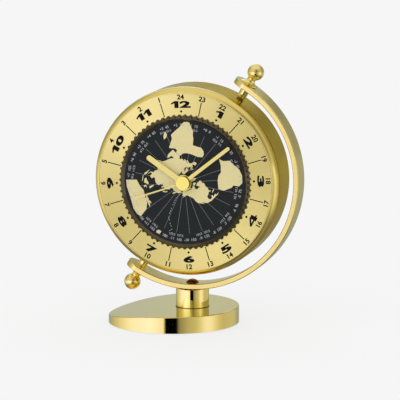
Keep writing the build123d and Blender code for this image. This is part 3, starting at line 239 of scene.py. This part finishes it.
# Lands near the disc's edge, which the print widens, as millimetres right of and above the hub
AFRICA = (
    (1.5, 36.4), (3.0, 36.1), (3.7, 34.5), (5.4, 30.8), (5.2, 28.5), (5.6, 26.2), (5.2, 22.6),
    (7.8, 21.8), (10.3, 21.3), (11.8, 19.3), (12.0, 17.2), (11.2, 15.6), (8.3, 15.7), (4.5, 17.1),
    (1.5, 17.7), (-0.8, 17.4), (-2.8, 15.9), (-3.7, 16.75), (-5.0, 17.75), (-4.5, 19.2), (-5.6, 20.2),
    (-9.4, 20.4), (-8.6, 23.0), (-7.6, 26.0), (-8.2, 28.3), (-5.4, 31.0), (-2.6, 33.4), (-1.2, 35.4),
    (-0.2, 36.2),
)
SOUTH_AMERICA = (
    (21.3, 15.0), (24.0, 13.8), (27.8, 14.2), (29.0, 12.9), (31.4, 11.0), (33.8, 9.0), (35.4, 5.6),
    (35.6, 1.2), (33.6, -0.9), (30.2, -0.5), (29.0, -1.9), (24.2, -3.9), (21.0, -3.0), (20.5, 2.0),
    (21.0, 5.0), (22.5, 7.0), (22.4, 11.0),
)
AUSTRALIA = (
    (-36.0, 0.2), (-29.5, 0.5), (-27.6, -3.0), (-25.2, -5.5), (-24.4, -9.0), (-23.0, -13.0),
    (-23.5, -17.0), (-27.0, -21.5), (-29.2, -20.2), (-31.5, -17.0), (-33.5, -10.0), (-35.6, -4.0),
)
SOUTHERN_ISLANDS = (
    ((-11.8, 30.2), (-10.7, 28.5), (-11.1, 26.5), (-12.4, 25.3), (-12.9, 27.0), (-12.4, 29.0)),
    ((-17.2, -29.6), (-15.6, -29.1), (-14.2, -30.2), (-15.5, -31.6), (-17.3, -30.9)),
    ((-22.4, -11.0), (-21.0, -12.0), (-20.2, -13.4), (-21.2, -13.0)),
)

# The date line, as degrees east and north
DATE_LINE = ((-169, 66), (176, 51), (177, 24), (179, 3), (-176, -9), (-171, -20), (-176, -33))


# Places and small tools

def middle(node):
    low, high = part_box(node)
    return (low + high) / 2


def front_of(node):
    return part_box(node)[0].y


HUB = middle("hub_cap")
DIAL_FRONT = front_of("dial_plate")
DISC_FRONT = front_of("world_disc")


def on_face(front, radius, clock, turn=0.0):
    """Place of a flat thing on the head's front, a radius out at a clockwise angle, turned in its plane."""
    upright = Matrix.Translation((HUB.x, front, HUB.z)) @ Matrix.Rotation(math.pi / 2, 4, "X")
    out = Matrix.Rotation(-clock, 4, "Z") @ Matrix.Translation((0, radius, 0))
    return upright @ out @ Matrix.Rotation(turn, 4, "Z")


def polar(radius, clock):
    return Vector((radius * math.sin(clock), radius * math.cos(clock), 0))


def deselect():
    bpy.ops.object.select_all(action="DESELECT")


def pick(piece):
    deselect()
    piece.select_set(True)
    bpy.context.view_layer.objects.active = piece


def settle(piece, place):
    """Puts a piece where it belongs, with its place in its mesh."""
    pick(piece)
    piece.matrix_world = place @ piece.matrix_world
    bpy.ops.object.transform_apply(location=True, rotation=True, scale=True)


def copy_of(piece):
    twin = piece.copy()
    twin.data = piece.data.copy()
    bpy.context.scene.collection.objects.link(twin)
    return twin


def join(pieces, name):
    deselect()
    for piece in pieces:
        piece.select_set(True)
    bpy.context.view_layer.objects.active = pieces[0]
    bpy.ops.object.join()
    pieces[0].name = name
    return pieces[0]


def finish_piece(piece, finish, body):
    piece.data.materials.clear()
    piece.data.materials.append(finish)
    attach(piece, body)


# Node helpers

def new_finish(name):
    finish = bpy.data.materials.new(name)
    finish.use_nodes = True
    return finish, finish.node_tree, finish.node_tree.nodes["Principled BSDF"]


def own_place(tree, stretch=EVEN, turn=0.0):
    """Where a point lies on its object, stretched and turned about the upright axis."""
    where = tree.nodes.new("ShaderNodeTexCoord")
    mapping = tree.nodes.new("ShaderNodeMapping")
    mapping.inputs["Scale"].default_value = stretch
    mapping.inputs["Rotation"].default_value = (0, 0, turn)
    tree.links.new(where.outputs["Object"], mapping.inputs["Vector"])
    return mapping.outputs["Vector"]


def split(tree, place):
    parts = tree.nodes.new("ShaderNodeSeparateXYZ")
    tree.links.new(place, parts.inputs["Vector"])
    return parts.outputs


def math_node(tree, operation, *values):
    node = tree.nodes.new("ShaderNodeMath")
    node.operation = operation
    for socket, value in zip(node.inputs, values):
        if isinstance(value, (int, float)):
            socket.default_value = value
        else:
            tree.links.new(value, socket)
    return node.outputs[0]


def times(tree, first, second):
    return math_node(tree, "MULTIPLY", first, second)


def plus(tree, first, second):
    return math_node(tree, "ADD", first, second)


def minus(tree, first, second):
    return math_node(tree, "SUBTRACT", first, second)


def rest_of(tree, share):
    """What a share leaves of one."""
    return minus(tree, 1, share)


def remap(tree, value, source, target=(0, 1), ends="LINEAR"):
    """Maps one range of numbers to another."""
    node = tree.nodes.new("ShaderNodeMapRange")
    node.interpolation_type = ends
    node.inputs["From Min"].default_value, node.inputs["From Max"].default_value = source
    node.inputs["To Min"].default_value, node.inputs["To Max"].default_value = target
    tree.links.new(value, node.inputs["Value"])
    return node.outputs["Result"]


def ease(tree, value, source, target=(0, 1)):
    """Maps one range of numbers to another, with soft ends."""
    return remap(tree, value, source, target, "SMOOTHSTEP")


def band(tree, value, limits):
    """One between the two middle limits, falling to nothing at the outer ones."""
    return minus(tree, ease(tree, value, limits[:2]), ease(tree, value, limits[2:]))


def tint(tree, value, tones):
    """Mixes two colours by a value."""
    node = tree.nodes.new("ShaderNodeMix")
    node.data_type = "RGBA"
    for socket, tone in zip("AB", tones):
        node.inputs[socket].default_value = (*tone, 1)
    tree.links.new(value, node.inputs["Factor"])
    return node.outputs["Result"]


def show_mix(tree, share, first, second, output):
    """Sends two shaders to the output, the second by its share."""
    mix = tree.nodes.new("ShaderNodeMixShader")
    tree.links.new(share, mix.inputs["Fac"])
    tree.links.new(first.outputs[0], mix.inputs[1])
    tree.links.new(second.outputs[0], mix.inputs[2])
    tree.links.new(mix.outputs[0], tree.nodes[output].inputs["Surface"])


def noise(tree, marks, stretch):
    """Fine unevenness over the object, in marks per metre."""
    texture = tree.nodes.new("ShaderNodeTexNoise")
    texture.inputs["Scale"].default_value = marks
    texture.inputs["Detail"].default_value = NOISE_DETAIL
    tree.links.new(own_place(tree, stretch), texture.inputs["Vector"])
    return texture.outputs["Fac"]


def grain(tree, shader, value, depth):
    node = tree.nodes.new("ShaderNodeBump")
    node.inputs["Distance"].default_value = depth
    node.inputs["Strength"].default_value = GRAIN_STRENGTH
    tree.links.new(value, node.inputs["Height"])
    tree.links.new(node.outputs["Normal"], shader.inputs["Normal"])


def sectors(tree):
    """Two bright and two dull sectors round the hub: painted sheen, the way light falls on metal brushed in
    circles.
    """
    parts = split(tree, own_place(tree))
    right = minus(tree, parts["X"], HUB.x)
    above = minus(tree, parts["Z"], HUB.z)
    clock = minus(tree, math_node(tree, "ARCTAN2", right, above), SHEEN_CLOCK)
    wave = math_node(tree, "COSINE", times(tree, clock, SHEEN_PAIRS))
    return remap(tree, wave, (-1, 1))


# Finishes

def plain_finish(name, tones, marks, rough, metallic=0.0, depth=0.0, stretch=EVEN, edge=WHITE, shine=0.5,
                 pattern=None):
    """A finish with two close tones, uneven gloss, a fine grain and a tint where it is seen at a slant."""
    finish, tree, shader = new_finish(name)
    texture = noise(tree, marks, stretch)
    shader.inputs["Metallic"].default_value = metallic
    shader.inputs["Specular IOR Level"].default_value = shine
    shader.inputs["Specular Tint"].default_value = (*edge, 1)
    mixed = pattern(tree) if pattern else remap(tree, texture, NOISE_RANGE)
    tree.links.new(tint(tree, mixed, tones), shader.inputs["Base Color"])
    tree.links.new(remap(tree, texture, NOISE_RANGE, rough), shader.inputs["Roughness"])
    if depth:
        grain(tree, shader, texture, depth)
    return finish


def gold_finish(name, tones, marks, rough, edge=GOLD_EDGE, pattern=None):
    return plain_finish(name, tones, marks, rough, METAL, edge=edge, pattern=pattern)


def ink_finish(name, tones, shine=0.5):
    return plain_finish(name, tones, marks=1500, rough=(0.5, 0.6), shine=shine)


def make_polished_gold():
    tones = (0.96, 0.75, 0.22), (0.93, 0.73, 0.21)
    return gold_finish("polished_gold", tones, marks=90, rough=(0.04, 0.07))


def make_brushed_gold():
    return gold_finish("brushed_gold", BRUSHED_TONES, marks=140, rough=(0.19, 0.24))


def make_case_gold():
    return gold_finish("case_gold", BRUSHED_TONES, marks=140, rough=(0.19, 0.24), edge=CASE_EDGE)


def make_satin_gold():
    # The dull and the bright tone of the dial's painted sheen
    tones = (0.609, 0.488, 0.108), (0.851, 0.685, 0.173)
    return gold_finish("satin_gold", tones, marks=120, rough=(0.28, 0.32), pattern=sectors)


def make_hand_gold():
    tones = (0.77, 0.61, 0.137), (0.74, 0.59, 0.132)
    return gold_finish("hand_gold", tones, marks=160, rough=(0.21, 0.24))


def make_hub_gold():
    tones = (0.92, 0.72, 0.127), (0.89, 0.70, 0.122)
    return gold_finish("hub_gold", tones, marks=160, rough=(0.21, 0.24))


def make_dark_bronze():
    # Dark bronze for the arm screw; the ring at the pillar's foot takes it too, as painted shadow
    tones = (0.30, 0.17, 0.07), (0.25, 0.14, 0.06)
    return plain_finish("dark_bronze_and_shadow", tones, marks=300, rough=(0.06, 0.12), metallic=METAL)


def make_disc_black():
    tones = (0.010, 0.013, 0.008), (0.013, 0.016, 0.010)
    return plain_finish("disc_black", tones, marks=900, rough=(0.36, 0.46), shine=0.16)


def make_land_print():
    tones = (0.79, 0.69, 0.345), (0.71, 0.615, 0.31)
    return plain_finish("land_print", tones, marks=1400, rough=(0.45, 0.6), shine=0.2)


def make_black_ink():
    return ink_finish("black_ink", ((0.003, 0.003, 0.003), (0.006, 0.006, 0.005)), shine=0.1)


def make_white_ink():
    return ink_finish("white_ink", ((0.56, 0.56, 0.54), (0.46, 0.46, 0.45)))


def make_grey_ink():
    return ink_finish("grey_ink", ((0.27, 0.27, 0.28), (0.20, 0.20, 0.21)))


def make_rim_plastic():
    tones = (0.115, 0.095, 0.050), (0.085, 0.070, 0.037)
    return plain_finish("rim_plastic", tones, marks=800, rough=(0.16, 0.24), metallic=0.75, edge=RIM_EDGE)


def make_steel():
    tones = (0.58, 0.56, 0.46), (0.50, 0.49, 0.40)
    return plain_finish("steel", tones, marks=1500, rough=(0.22, 0.38), metallic=METAL, depth=0.002 * MM)


def make_bush_bronze():
    tones = (0.40, 0.28, 0.11), (0.34, 0.23, 0.09)
    return plain_finish("bush_bronze", tones, marks=900, rough=(0.2, 0.3), metallic=METAL)


def make_washer_nylon():
    # Nearly black: partly the washers' own tone, partly painted shade in the gap between the arm and the
    # case
    tones = (0.05, 0.04, 0.025), (0.04, 0.03, 0.02)
    return plain_finish("washer_nylon", tones, marks=900, rough=(0.45, 0.6))


def make_black_plastic():
    tones = (0.018, 0.018, 0.018), (0.027, 0.027, 0.026)
    return plain_finish("black_plastic", tones, marks=2500, rough=(0.45, 0.6), depth=0.02 * MM,
                        edge=BLACK_EDGE)


def make_gear_plastic():
    tones = (0.78, 0.76, 0.70), (0.70, 0.68, 0.63)
    return plain_finish("gear_plastic", tones, marks=900, rough=(0.35, 0.5))


def make_battery_wrap():
    tones = (0.10, 0.12, 0.14), (0.13, 0.15, 0.17)
    return plain_finish("battery_wrap", tones, marks=600, rough=(0.25, 0.35), metallic=0.3)


def make_coil_copper():
    tones = (0.72, 0.33, 0.16), (0.45, 0.18, 0.08)
    return plain_finish("coil_copper", tones, marks=400, rough=(0.25, 0.4), metallic=METAL, depth=0.05 * MM,
                        stretch=(18, 1, 1))


def make_board_green():
    tones = (0.02, 0.12, 0.05), (0.03, 0.16, 0.07)
    return plain_finish("board_green", tones, marks=500, rough=(0.3, 0.45))


def make_felt():
    tones = (0.020, 0.045, 0.028), (0.045, 0.075, 0.050)
    return plain_finish("felt", tones, marks=3000, rough=(0.85, 1.0), depth=0.2 * MM)


GOLD_NODES = (
    "base", "pillar", "upper_pivot_pin", "lower_pivot_pin", "upper_finial", "lower_finial",
)
STEEL_NODES = (
    "pillar_screw", "upper_pin_clip", "lower_pin_clip", "push_nuts", "cover_screws", "battery_contacts",
    "stator",
)
BLACK_NODES = (
    "rear_cover", "battery_tray", "battery_door", "movement_front", "movement_rear", "setting_knob",
)
GEAR_NODES = (
    "train_plate", "rotor", "intermediate_wheel", "second_wheel", "third_wheel", "centre_wheel",
    "cannon_pinion", "minute_wheel", "hour_wheel", "reversing_idler_a", "reversing_idler_b", "day_wheel",
)


def dress(nodes, finish):
    for name in nodes:
        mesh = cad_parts[name].data
        mesh.materials.clear()
        mesh.materials.append(finish)


def dress_stand(brushed, bronze_and_shadow):
    dress(GOLD_NODES, make_polished_gold())
    dress(("arm",), brushed)
    dress(("arm_screw",), bronze_and_shadow)
    dress(("upper_friction_washer", "lower_friction_washer"), make_washer_nylon())
    dress(("base_pad",), make_felt())


def dress_head(brushed):
    dress(("bezel",), brushed)
    dress(("case",), make_case_gold())
    dress(("upper_pivot_bush", "lower_pivot_bush"), make_bush_bronze())
    dress(("dial_plate",), make_satin_gold())
    dress(("hour_hand", "minute_hand", "second_hand"), make_hand_gold())
    dress(("hub_cap",), make_hub_gold())
    dress(("world_disc",), make_disc_black())
    dress(("disc_rim",), make_rim_plastic())


def dress_works():
    dress(STEEL_NODES, make_steel())
    dress(BLACK_NODES, make_black_plastic())
    dress(GEAR_NODES, make_gear_plastic())
    dress(("battery",), make_battery_wrap())
    dress(("coil",), make_coil_copper())
    dress(("circuit_board",), make_board_green())


# Painted shadow at the pillar's foot

def make_foot_seam(finish):
    """A fine dark ring round the pillar's foot, as a painted shadow line."""
    low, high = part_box("pillar")
    foot = middle("pillar")
    radius = (high.x - low.x) / 2
    deselect()
    bpy.ops.mesh.primitive_circle_add(vertices=SHADOW_LINE_SIDES, radius=radius)
    shadow_line = bpy.context.object
    shadow_line.name = "painted_foot_shadow"
    bpy.ops.object.mode_set(mode="EDIT")
    bpy.ops.mesh.select_all(action="SELECT")
    bpy.ops.mesh.extrude_edges_move(TRANSFORM_OT_translate={"value": (0, 0, 0)})
    bpy.ops.transform.resize(value=[1 + SHADOW_LINE_WIDTH / radius] * 2 + [1])
    bpy.ops.mesh.select_all(action="SELECT")
    bpy.ops.mesh.extrude_region_move(TRANSFORM_OT_translate={"value": (0, 0, SHADOW_LINE_HEIGHT)})
    bpy.ops.mesh.select_all(action="SELECT")
    bpy.ops.mesh.normals_make_consistent(inside=False)
    bpy.ops.object.mode_set(mode="OBJECT")
    settle(shadow_line, Matrix.Translation((foot.x, foot.y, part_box("base")[1].z - SHADOW_LINE_SINK)))
    # The dark finish on this ring is painted shadow
    finish_piece(shadow_line, finish, "stand")


# Print

def number(words, height, swell, widen=1.0, weight=0.0):
    """A number as a thin mesh, centred on the origin, its strokes swelled past their outline."""
    deselect()
    bpy.ops.object.text_add()
    piece = bpy.context.object
    piece.data.body = words
    piece.data.offset = weight
    piece.data.bevel_depth = swell
    piece.data.bevel_resolution = 0
    piece.data.resolution_u = LETTER_STEPS
    bpy.ops.object.convert(target="MESH")
    bpy.ops.object.origin_set(type="ORIGIN_GEOMETRY", center="BOUNDS")
    piece.location = (0, 0, INK_HEIGHT / 2)
    size = height / piece.dimensions.y
    piece.scale = (size * widen, size, INK_HEIGHT / piece.dimensions.z)
    bpy.ops.object.transform_apply(location=True, rotation=True, scale=True)
    return piece


def thicken(piece):
    """Gives flat print the height of a layer of ink."""
    pick(piece)
    bpy.ops.object.mode_set(mode="EDIT")
    bpy.ops.mesh.select_all(action="SELECT")
    bpy.ops.mesh.remove_doubles(threshold=MERGE_DISTANCE)
    bpy.ops.mesh.normals_make_consistent(inside=False)
    bpy.ops.mesh.extrude_region_move(TRANSFORM_OT_translate={"value": (0, 0, INK_HEIGHT)})
    bpy.ops.mesh.select_all(action="SELECT")
    bpy.ops.mesh.normals_make_consistent(inside=False)
    bpy.ops.object.mode_set(mode="OBJECT")


def flat_shape(outlines, name):
    """Closed outlines, filled, as a thin mesh."""
    drawing = bpy.data.curves.new(name, "CURVE")
    drawing.dimensions = "2D"
    drawing.fill_mode = "FRONT"
    for outline in outlines:
        spline = drawing.splines.new("POLY")
        spline.points.add(len(outline) - 1)
        for point, place in zip(spline.points, outline):
            point.co = (*place, 1)
        spline.use_cyclic_u = True
    piece = bpy.data.objects.new(name, drawing)
    bpy.context.scene.collection.objects.link(piece)
    pick(piece)
    bpy.ops.object.convert(target="MESH")
    piece = bpy.context.object
    thicken(piece)
    return piece


def line(inner, outer, width):
    """A thin printed line along the radius, at twelve o'clock."""
    deselect()
    bpy.ops.mesh.primitive_plane_add(size=1)
    piece = bpy.context.object
    settle(piece, Matrix.Diagonal((width, outer - inner, 1, 1)))
    thicken(piece)
    settle(piece, Matrix.Translation((0, (inner + outer) / 2, 0)))
    return piece


def around(first, clocks, front, name):
    """Copies of one mark all round the dial or the disc, as one piece."""
    pieces = []
    for clock in clocks:
        piece = copy_of(first)
        settle(piece, on_face(front, 0, clock))
        pieces.append(piece)
    bpy.data.objects.remove(first)
    return join(pieces, name)


def reading_turn(clock):
    """Numbers on the lower half stand the other way up, so that they can be read."""
    return math.pi if math.cos(clock) < -READING_MARGIN else 0.0


# Dial

def hour_digit(digit):
    """One heavy, wide digit, standing at the origin."""
    if digit in DRAWN_DIGITS:
        outlines = []
        for outline in DRAWN_DIGITS[digit]:
            outlines.append([Vector((*point, 0)) * HOUR_HEIGHT for point in outline])
        return flat_shape(outlines, "digit")
    piece = number(digit, HOUR_HEIGHT, HOUR_SWELL, weight=HOUR_WEIGHT)
    widen = Matrix.Scale(HOUR_WIDTH / piece.dimensions.x, 4, (1, 0, 0))
    settle(piece, Matrix.Translation((HOUR_WIDTH / 2, HOUR_HEIGHT / 2, 0)) @ widen)
    return piece


def hour_number(words):
    pieces = []
    across = 0.0
    for digit in words:
        piece = hour_digit(digit)
        settle(piece, Matrix.Translation((across, 0, 0)))
        across += piece.dimensions.x + HOUR_GAP
        pieces.append(piece)
    whole = join(pieces, "hour_number")
    settle(whole, Matrix.Translation((-(across - HOUR_GAP) / 2, -HOUR_HEIGHT / 2, 0)))
    return whole


def day_number(words):
    return number(words, DAY_HEIGHT, DAY_SWELL, DAY_SPREAD, DAY_WEIGHT)


def dial_numbers(make, hours, way, radius, name):
    """A ring of numbers on the dial, counted clockwise or backwards."""
    pieces = []
    for hour in range(1, hours + 1):
        clock = way * math.tau * hour / hours
        piece = make(str(hour))
        settle(piece, on_face(DIAL_FRONT, radius, clock + DIAL_LEAN, reading_turn(clock)))
        pieces.append(piece)
    return join(pieces, name)


def make_hour_numbers(ink):
    numbers = dial_numbers(hour_number, HOURS, CLOCKWISE, HOUR_RADIUS, "hour_numbers")
    finish_piece(numbers, ink, "head")


def make_day_numbers(ink):
    numbers = dial_numbers(day_number, HOURS_IN_DAY, BACKWARDS, DAY_RADIUS, "day_numbers")
    finish_piece(numbers, ink, "head")


def make_ticks(ink):
    clocks = [math.tau * (hour + 1 / 2) / HOURS + DIAL_LEAN for hour in range(HOURS)]
    ticks = around(line(TICK_INNER, TICK_OUTER, TICK_WIDTH), clocks, DIAL_FRONT, "half_hour_ticks")
    finish_piece(ticks, ink, "head")


def make_dots(ink):
    deselect()
    bpy.ops.mesh.primitive_circle_add(vertices=DOT_SIDES, radius=DOT_SIZE, fill_type="NGON")
    dot = bpy.context.object
    thicken(dot)
    settle(dot, Matrix.Translation((0, DOT_RADIUS, 0)))
    clocks = [math.tau * hour / HOURS + DIAL_LEAN for hour in range(HOURS)]
    finish_piece(around(dot, clocks, DIAL_FRONT, "hour_dots"), ink, "head")


# World disc

def map_clock(longitude):
    return math.radians(MAP_TURN - longitude)


def map_point(longitude, latitude):
    return polar(min((POLE - latitude) * MAP_SCALE, PRINT_RADIUS), map_clock(longitude))


def make_lands(ink):
    outlines = []
    for outline in (EURASIA, NORTH_AMERICA, GREENLAND, *ISLANDS):
        outlines.append([map_point(*point) for point in outline])
    for outline in (AFRICA, SOUTH_AMERICA, AUSTRALIA, *SOUTHERN_ISLANDS):
        outlines.append([Vector((*point, 0)) * MM for point in outline])
    lands = flat_shape(outlines, "lands")
    settle(lands, on_face(DISC_FRONT, 0, 0))
    finish_piece(lands, ink, "day")


def make_meridians(ink):
    clocks = [map_clock(longitude) for longitude in LONGITUDES]
    first = line(MERIDIAN_INNER, MERIDIAN_OUTER, MERIDIAN_WIDTH)
    settle(first, Matrix.Diagonal((1, 1, MERIDIAN_THINNESS, 1)))
    finish_piece(around(first, clocks, DISC_FRONT, "meridians"), ink, "day")


def make_zone_numbers(ink):
    """For each zone its hour and middle meridian, and under every other one the meridians that bound it."""
    pieces = []
    for longitude in LONGITUDES:
        clock = map_clock(longitude)
        zone = longitude // MERIDIAN_STEP
        rows = [(f"{zone:+d}  {abs(longitude)}", ZONE_HEIGHT, ZONE_RADIUS)]
        if zone % 2:
            limits = [abs(longitude + side * MERIDIAN_STEP / 2) for side in (-1, 1)]
            rows.append((f"{limits[0]}  {limits[1]}", LIMIT_HEIGHT, LIMIT_RADIUS))
        for words, height, radius in rows:
            piece = number(words, height, LABEL_SWELL)
            settle(piece, on_face(DISC_FRONT - LABEL_LIFT, radius, clock, reading_turn(clock)))
            pieces.append(piece)
    finish_piece(join(pieces, "zone_numbers"), ink, "day")


def make_date_line(ink):
    places = [map_point(*point) for point in DATE_LINE]
    outlines = []
    for start, end in zip(places, places[1:]):
        way = end - start
        along = way.normalized()
        across = Vector((-along.y, along.x, 0)) * DASH_WIDTH / 2
        for count in range(int(way.length / DASH_STEP)):
            first = start + along * count * DASH_STEP
            last = first + along * DASH_LENGTH
            outlines.append([first - across, last - across, last + across, first + across])
    dashes = flat_shape(outlines, "date_line")
    settle(dashes, on_face(DISC_FRONT, 0, 0))
    finish_piece(dashes, ink, "day")


# Rear

def arrow_point(radius, clock, way):
    """The three corners of the point at one end of the arrow."""
    return [
        polar(radius + way * ARROW_HEAD, clock),
        polar(radius, clock + way * ARROW_TIP),
        polar(radius - way * ARROW_HEAD, clock),
    ]


def make_setting_arrow(ink):
    """An arc with a point at each end above the setting knob: the hands are set either way."""
    low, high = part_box("setting_knob")
    knob = middle("setting_knob")
    radius = (high.x - low.x) / 2 + ARROW_GAP
    clocks = [ARROW_REACH * (2 * count / ARROW_STEPS - 1) for count in range(ARROW_STEPS + 1)]
    outline = [polar(radius + ARROW_WIDTH / 2, clock) for clock in clocks]
    outline += arrow_point(radius, clocks[-1], CLOCKWISE)
    outline += [polar(radius - ARROW_WIDTH / 2, clock) for clock in reversed(clocks)]
    outline += arrow_point(radius, clocks[0], BACKWARDS)
    arrow = flat_shape([outline], "setting_arrow")
    facing_back = Matrix.Rotation(math.pi, 4, "Z") @ Matrix.Rotation(math.pi / 2, 4, "X")
    settle(arrow, Matrix.Translation((knob.x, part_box("rear_cover")[1].y, knob.z)) @ facing_back)
    finish_piece(arrow, ink, "head")


# Studio

def make_camera():
    sin_azimuth, cos_azimuth = math.sin(CAMERA_AZIMUTH), math.cos(CAMERA_AZIMUTH)
    sin_rise, cos_rise = math.sin(CAMERA_ELEVATION), math.cos(CAMERA_ELEVATION)
    back = Vector((sin_azimuth * cos_rise, -cos_azimuth * cos_rise, sin_rise))
    right = Vector((cos_azimuth, sin_azimuth, 0))
    above = back.cross(right)
    aim = Vector((HUB.x, 0, HUB.z)) + right * AIM_RIGHT - above * AIM_DOWN
    deselect()
    bpy.ops.object.camera_add(location=aim + back * CAMERA_DISTANCE)
    camera = bpy.context.object
    camera.rotation_euler = (-back).to_track_quat("-Z", "Y").to_euler()
    camera.data.lens = CAMERA_LENS
    camera.data.sensor_width = CAMERA_SENSOR
    bpy.context.scene.camera = camera


def make_world():
    """White light all round, with the background's tone where the world itself is seen."""
    world = bpy.data.worlds.new("studio")
    world.use_nodes = True
    tree = world.node_tree
    light = tree.nodes["Background"]
    light.inputs["Color"].default_value = (*WHITE, 1)
    light.inputs["Strength"].default_value = WORLD_LEVEL
    seen = tree.nodes.new("ShaderNodeBackground")
    seen.inputs["Color"].default_value = BACKGROUND
    path = tree.nodes.new("ShaderNodeLightPath").outputs
    shiny = math_node(tree, "MAXIMUM", path["Is Glossy Ray"], path["Is Transmission Ray"])
    any_seen = math_node(tree, "MAXIMUM", path["Is Camera Ray"], shiny)
    show_mix(tree, any_seen, light, seen, "World Output")
    bpy.context.scene.world = world


def make_floor():
    """A floor that melts into the background and still takes a shadow."""
    finish, tree, shader = new_finish("floor")
    shader.inputs["Base Color"].default_value = BACKGROUND
    shader.inputs["Roughness"].default_value = FLOOR_ROUGHNESS
    shader.inputs["Specular IOR Level"].default_value = FLOOR_SHINE
    glow = tree.nodes.new("ShaderNodeEmission")
    glow.inputs["Color"].default_value = BACKGROUND
    path = tree.nodes.new("ShaderNodeLightPath").outputs
    show_mix(tree, times(tree, path["Is Camera Ray"], FLOOR_PLAIN_SHARE), shader, glow, "Material Output")
    deselect()
    bpy.ops.mesh.primitive_plane_add(size=FLOOR_SIZE)
    floor = bpy.context.object
    floor.name = "floor"
    floor.data.materials.append(finish)
    floor.visible_glossy = False


def make_key():
    deselect()
    bpy.ops.object.light_add(type="AREA", location=KEY_PLACE)
    key = bpy.context.object
    key.name = "key"
    key.data.energy = KEY_POWER
    key.data.size = KEY_SIZE
    key.rotation_euler = (HUB - Vector(KEY_PLACE)).to_track_quat("-Z", "Y").to_euler()
    key.visible_glossy = False


# Tent

def ramp(tree, share, stops):
    """Level by angle round the tent, from behind on the left to behind on the right."""
    node = tree.nodes.new("ShaderNodeValToRGB")
    marks = node.color_ramp.elements
    while len(marks) < len(stops):
        marks.new(1.0)
    for mark, (angle, level) in zip(marks, stops):
        mark.position = (angle + HALF_TURN) / FULL_TURN
        mark.color = (level, level, level, 1)
    tree.links.new(share, node.inputs["Fac"])
    return node.outputs["Color"]


def tent_place(tree):
    """How far round the tent a point lies, as a share of the turn, and how high, as one of the radius."""
    parts = split(tree, own_place(tree, turn=-CAMERA_AZIMUTH))
    angle = math_node(tree, "ARCTAN2", parts["X"], times(tree, parts["Y"], -1))
    share = math_node(tree, "DIVIDE", plus(tree, angle, math.pi), math.tau)
    return share, math_node(tree, "DIVIDE", parts["Z"], TENT_RADIUS)


def tent_gap(tree, share, rise):
    """The dark gap at the camera, in a low band and a fainter high one."""
    high = times(tree, band(tree, rise, TENT_GAP_HIGH), TENT_GAP_SHARE)
    both = plus(tree, band(tree, rise, TENT_GAP_LOW), high)
    return times(tree, ramp(tree, share, TENT_GAP), both)


def tent_lift(tree, share, rise):
    """How much the panels gain at the object's own height ahead, and lose above that and beside."""
    side = ramp(tree, share, TENT_SIDE)
    lifted = times(tree, rest_of(tree, side), band(tree, rise, TENT_LIFT_BAND))
    beside = times(tree, side, ease(tree, rise, TENT_SIDE_BAND))
    dropped = math_node(tree, "MAXIMUM", beside, ease(tree, rise, TENT_LIFT_BAND[2:]))
    return minus(tree, times(tree, lifted, TENT_LIFT), times(tree, dropped, TENT_DROP))


def tent_wall(tree, share, rise):
    """The panels with their gap, lifted ahead and changed by height behind."""
    back = ramp(tree, share, TENT_BACK)
    wall = times(tree, ramp(tree, share, TENT_PANELS), rest_of(tree, tent_gap(tree, share, rise)))
    lift = times(tree, rest_of(tree, back), tent_lift(tree, share, rise))
    loss = times(tree, times(tree, back, band(tree, rise, TENT_BACK_BAND)), TENT_BACK_LOSS)
    gain = times(tree, times(tree, back, band(tree, rise, TENT_BACK_RISE)), TENT_BACK_GAIN)
    lifted = times(tree, wall, plus(tree, lift, 1))
    return times(tree, lifted, rest_of(tree, minus(tree, loss, gain)))


def tent_level(tree):
    """The wall's brightness, with an even roof above and a dimmer ground below."""
    share, rise = tent_place(tree)
    roof = ease(tree, rise, TENT_ROOF_BAND)
    wall = times(tree, tent_wall(tree, share, rise), rest_of(tree, roof))
    level = plus(tree, wall, times(tree, roof, TENT_ROOF))
    return times(tree, level, ease(tree, rise, TENT_GROUND_BAND, (TENT_GROUND, 1)))


def make_tent():
    """Soft panels round the object with a dark gap at the camera, seen in reflections alone."""
    finish, tree, shader = new_finish("tent")
    tree.nodes.remove(shader)
    level = tent_level(tree)
    glow = tree.nodes.new("ShaderNodeEmission")
    tree.links.new(level, glow.inputs["Strength"])
    cool = ease(tree, level, TENT_COOL_BAND)
    tree.links.new(tint(tree, cool, (WHITE, TENT_COOL)), glow.inputs["Color"])
    tree.links.new(glow.outputs[0], tree.nodes["Material Output"].inputs["Surface"])
    deselect()
    bpy.ops.mesh.primitive_uv_sphere_add(
        segments=TENT_SEGMENTS, ring_count=TENT_RINGS, radius=TENT_RADIUS, location=(0, 0, TENT_HEIGHT))
    tent = bpy.context.object
    tent.name = "tent"
    tent.data.materials.append(finish)
    tent.visible_camera = False
    tent.visible_diffuse = False
    tent.visible_transmission = False
    tent.visible_shadow = False


# The whole clock

def dress_nodes():
    brushed = make_brushed_gold()
    bronze_and_shadow = make_dark_bronze()
    dress_stand(brushed, bronze_and_shadow)
    make_foot_seam(bronze_and_shadow)
    dress_head(brushed)
    dress_works()


def make_print():
    black = make_black_ink()
    make_hour_numbers(black)
    make_day_numbers(black)
    make_ticks(black)
    make_dots(black)
    make_lands(make_land_print())
    grey = make_grey_ink()
    make_meridians(grey)
    make_setting_arrow(grey)
    pale = make_white_ink()
    make_zone_numbers(pale)
    make_date_line(pale)


def make_studio():
    make_camera()
    make_world()
    make_floor()
    make_tent()
    make_key()
    bpy.context.scene.view_settings.view_transform = "Standard"


dress_nodes()
make_print()
make_studio()
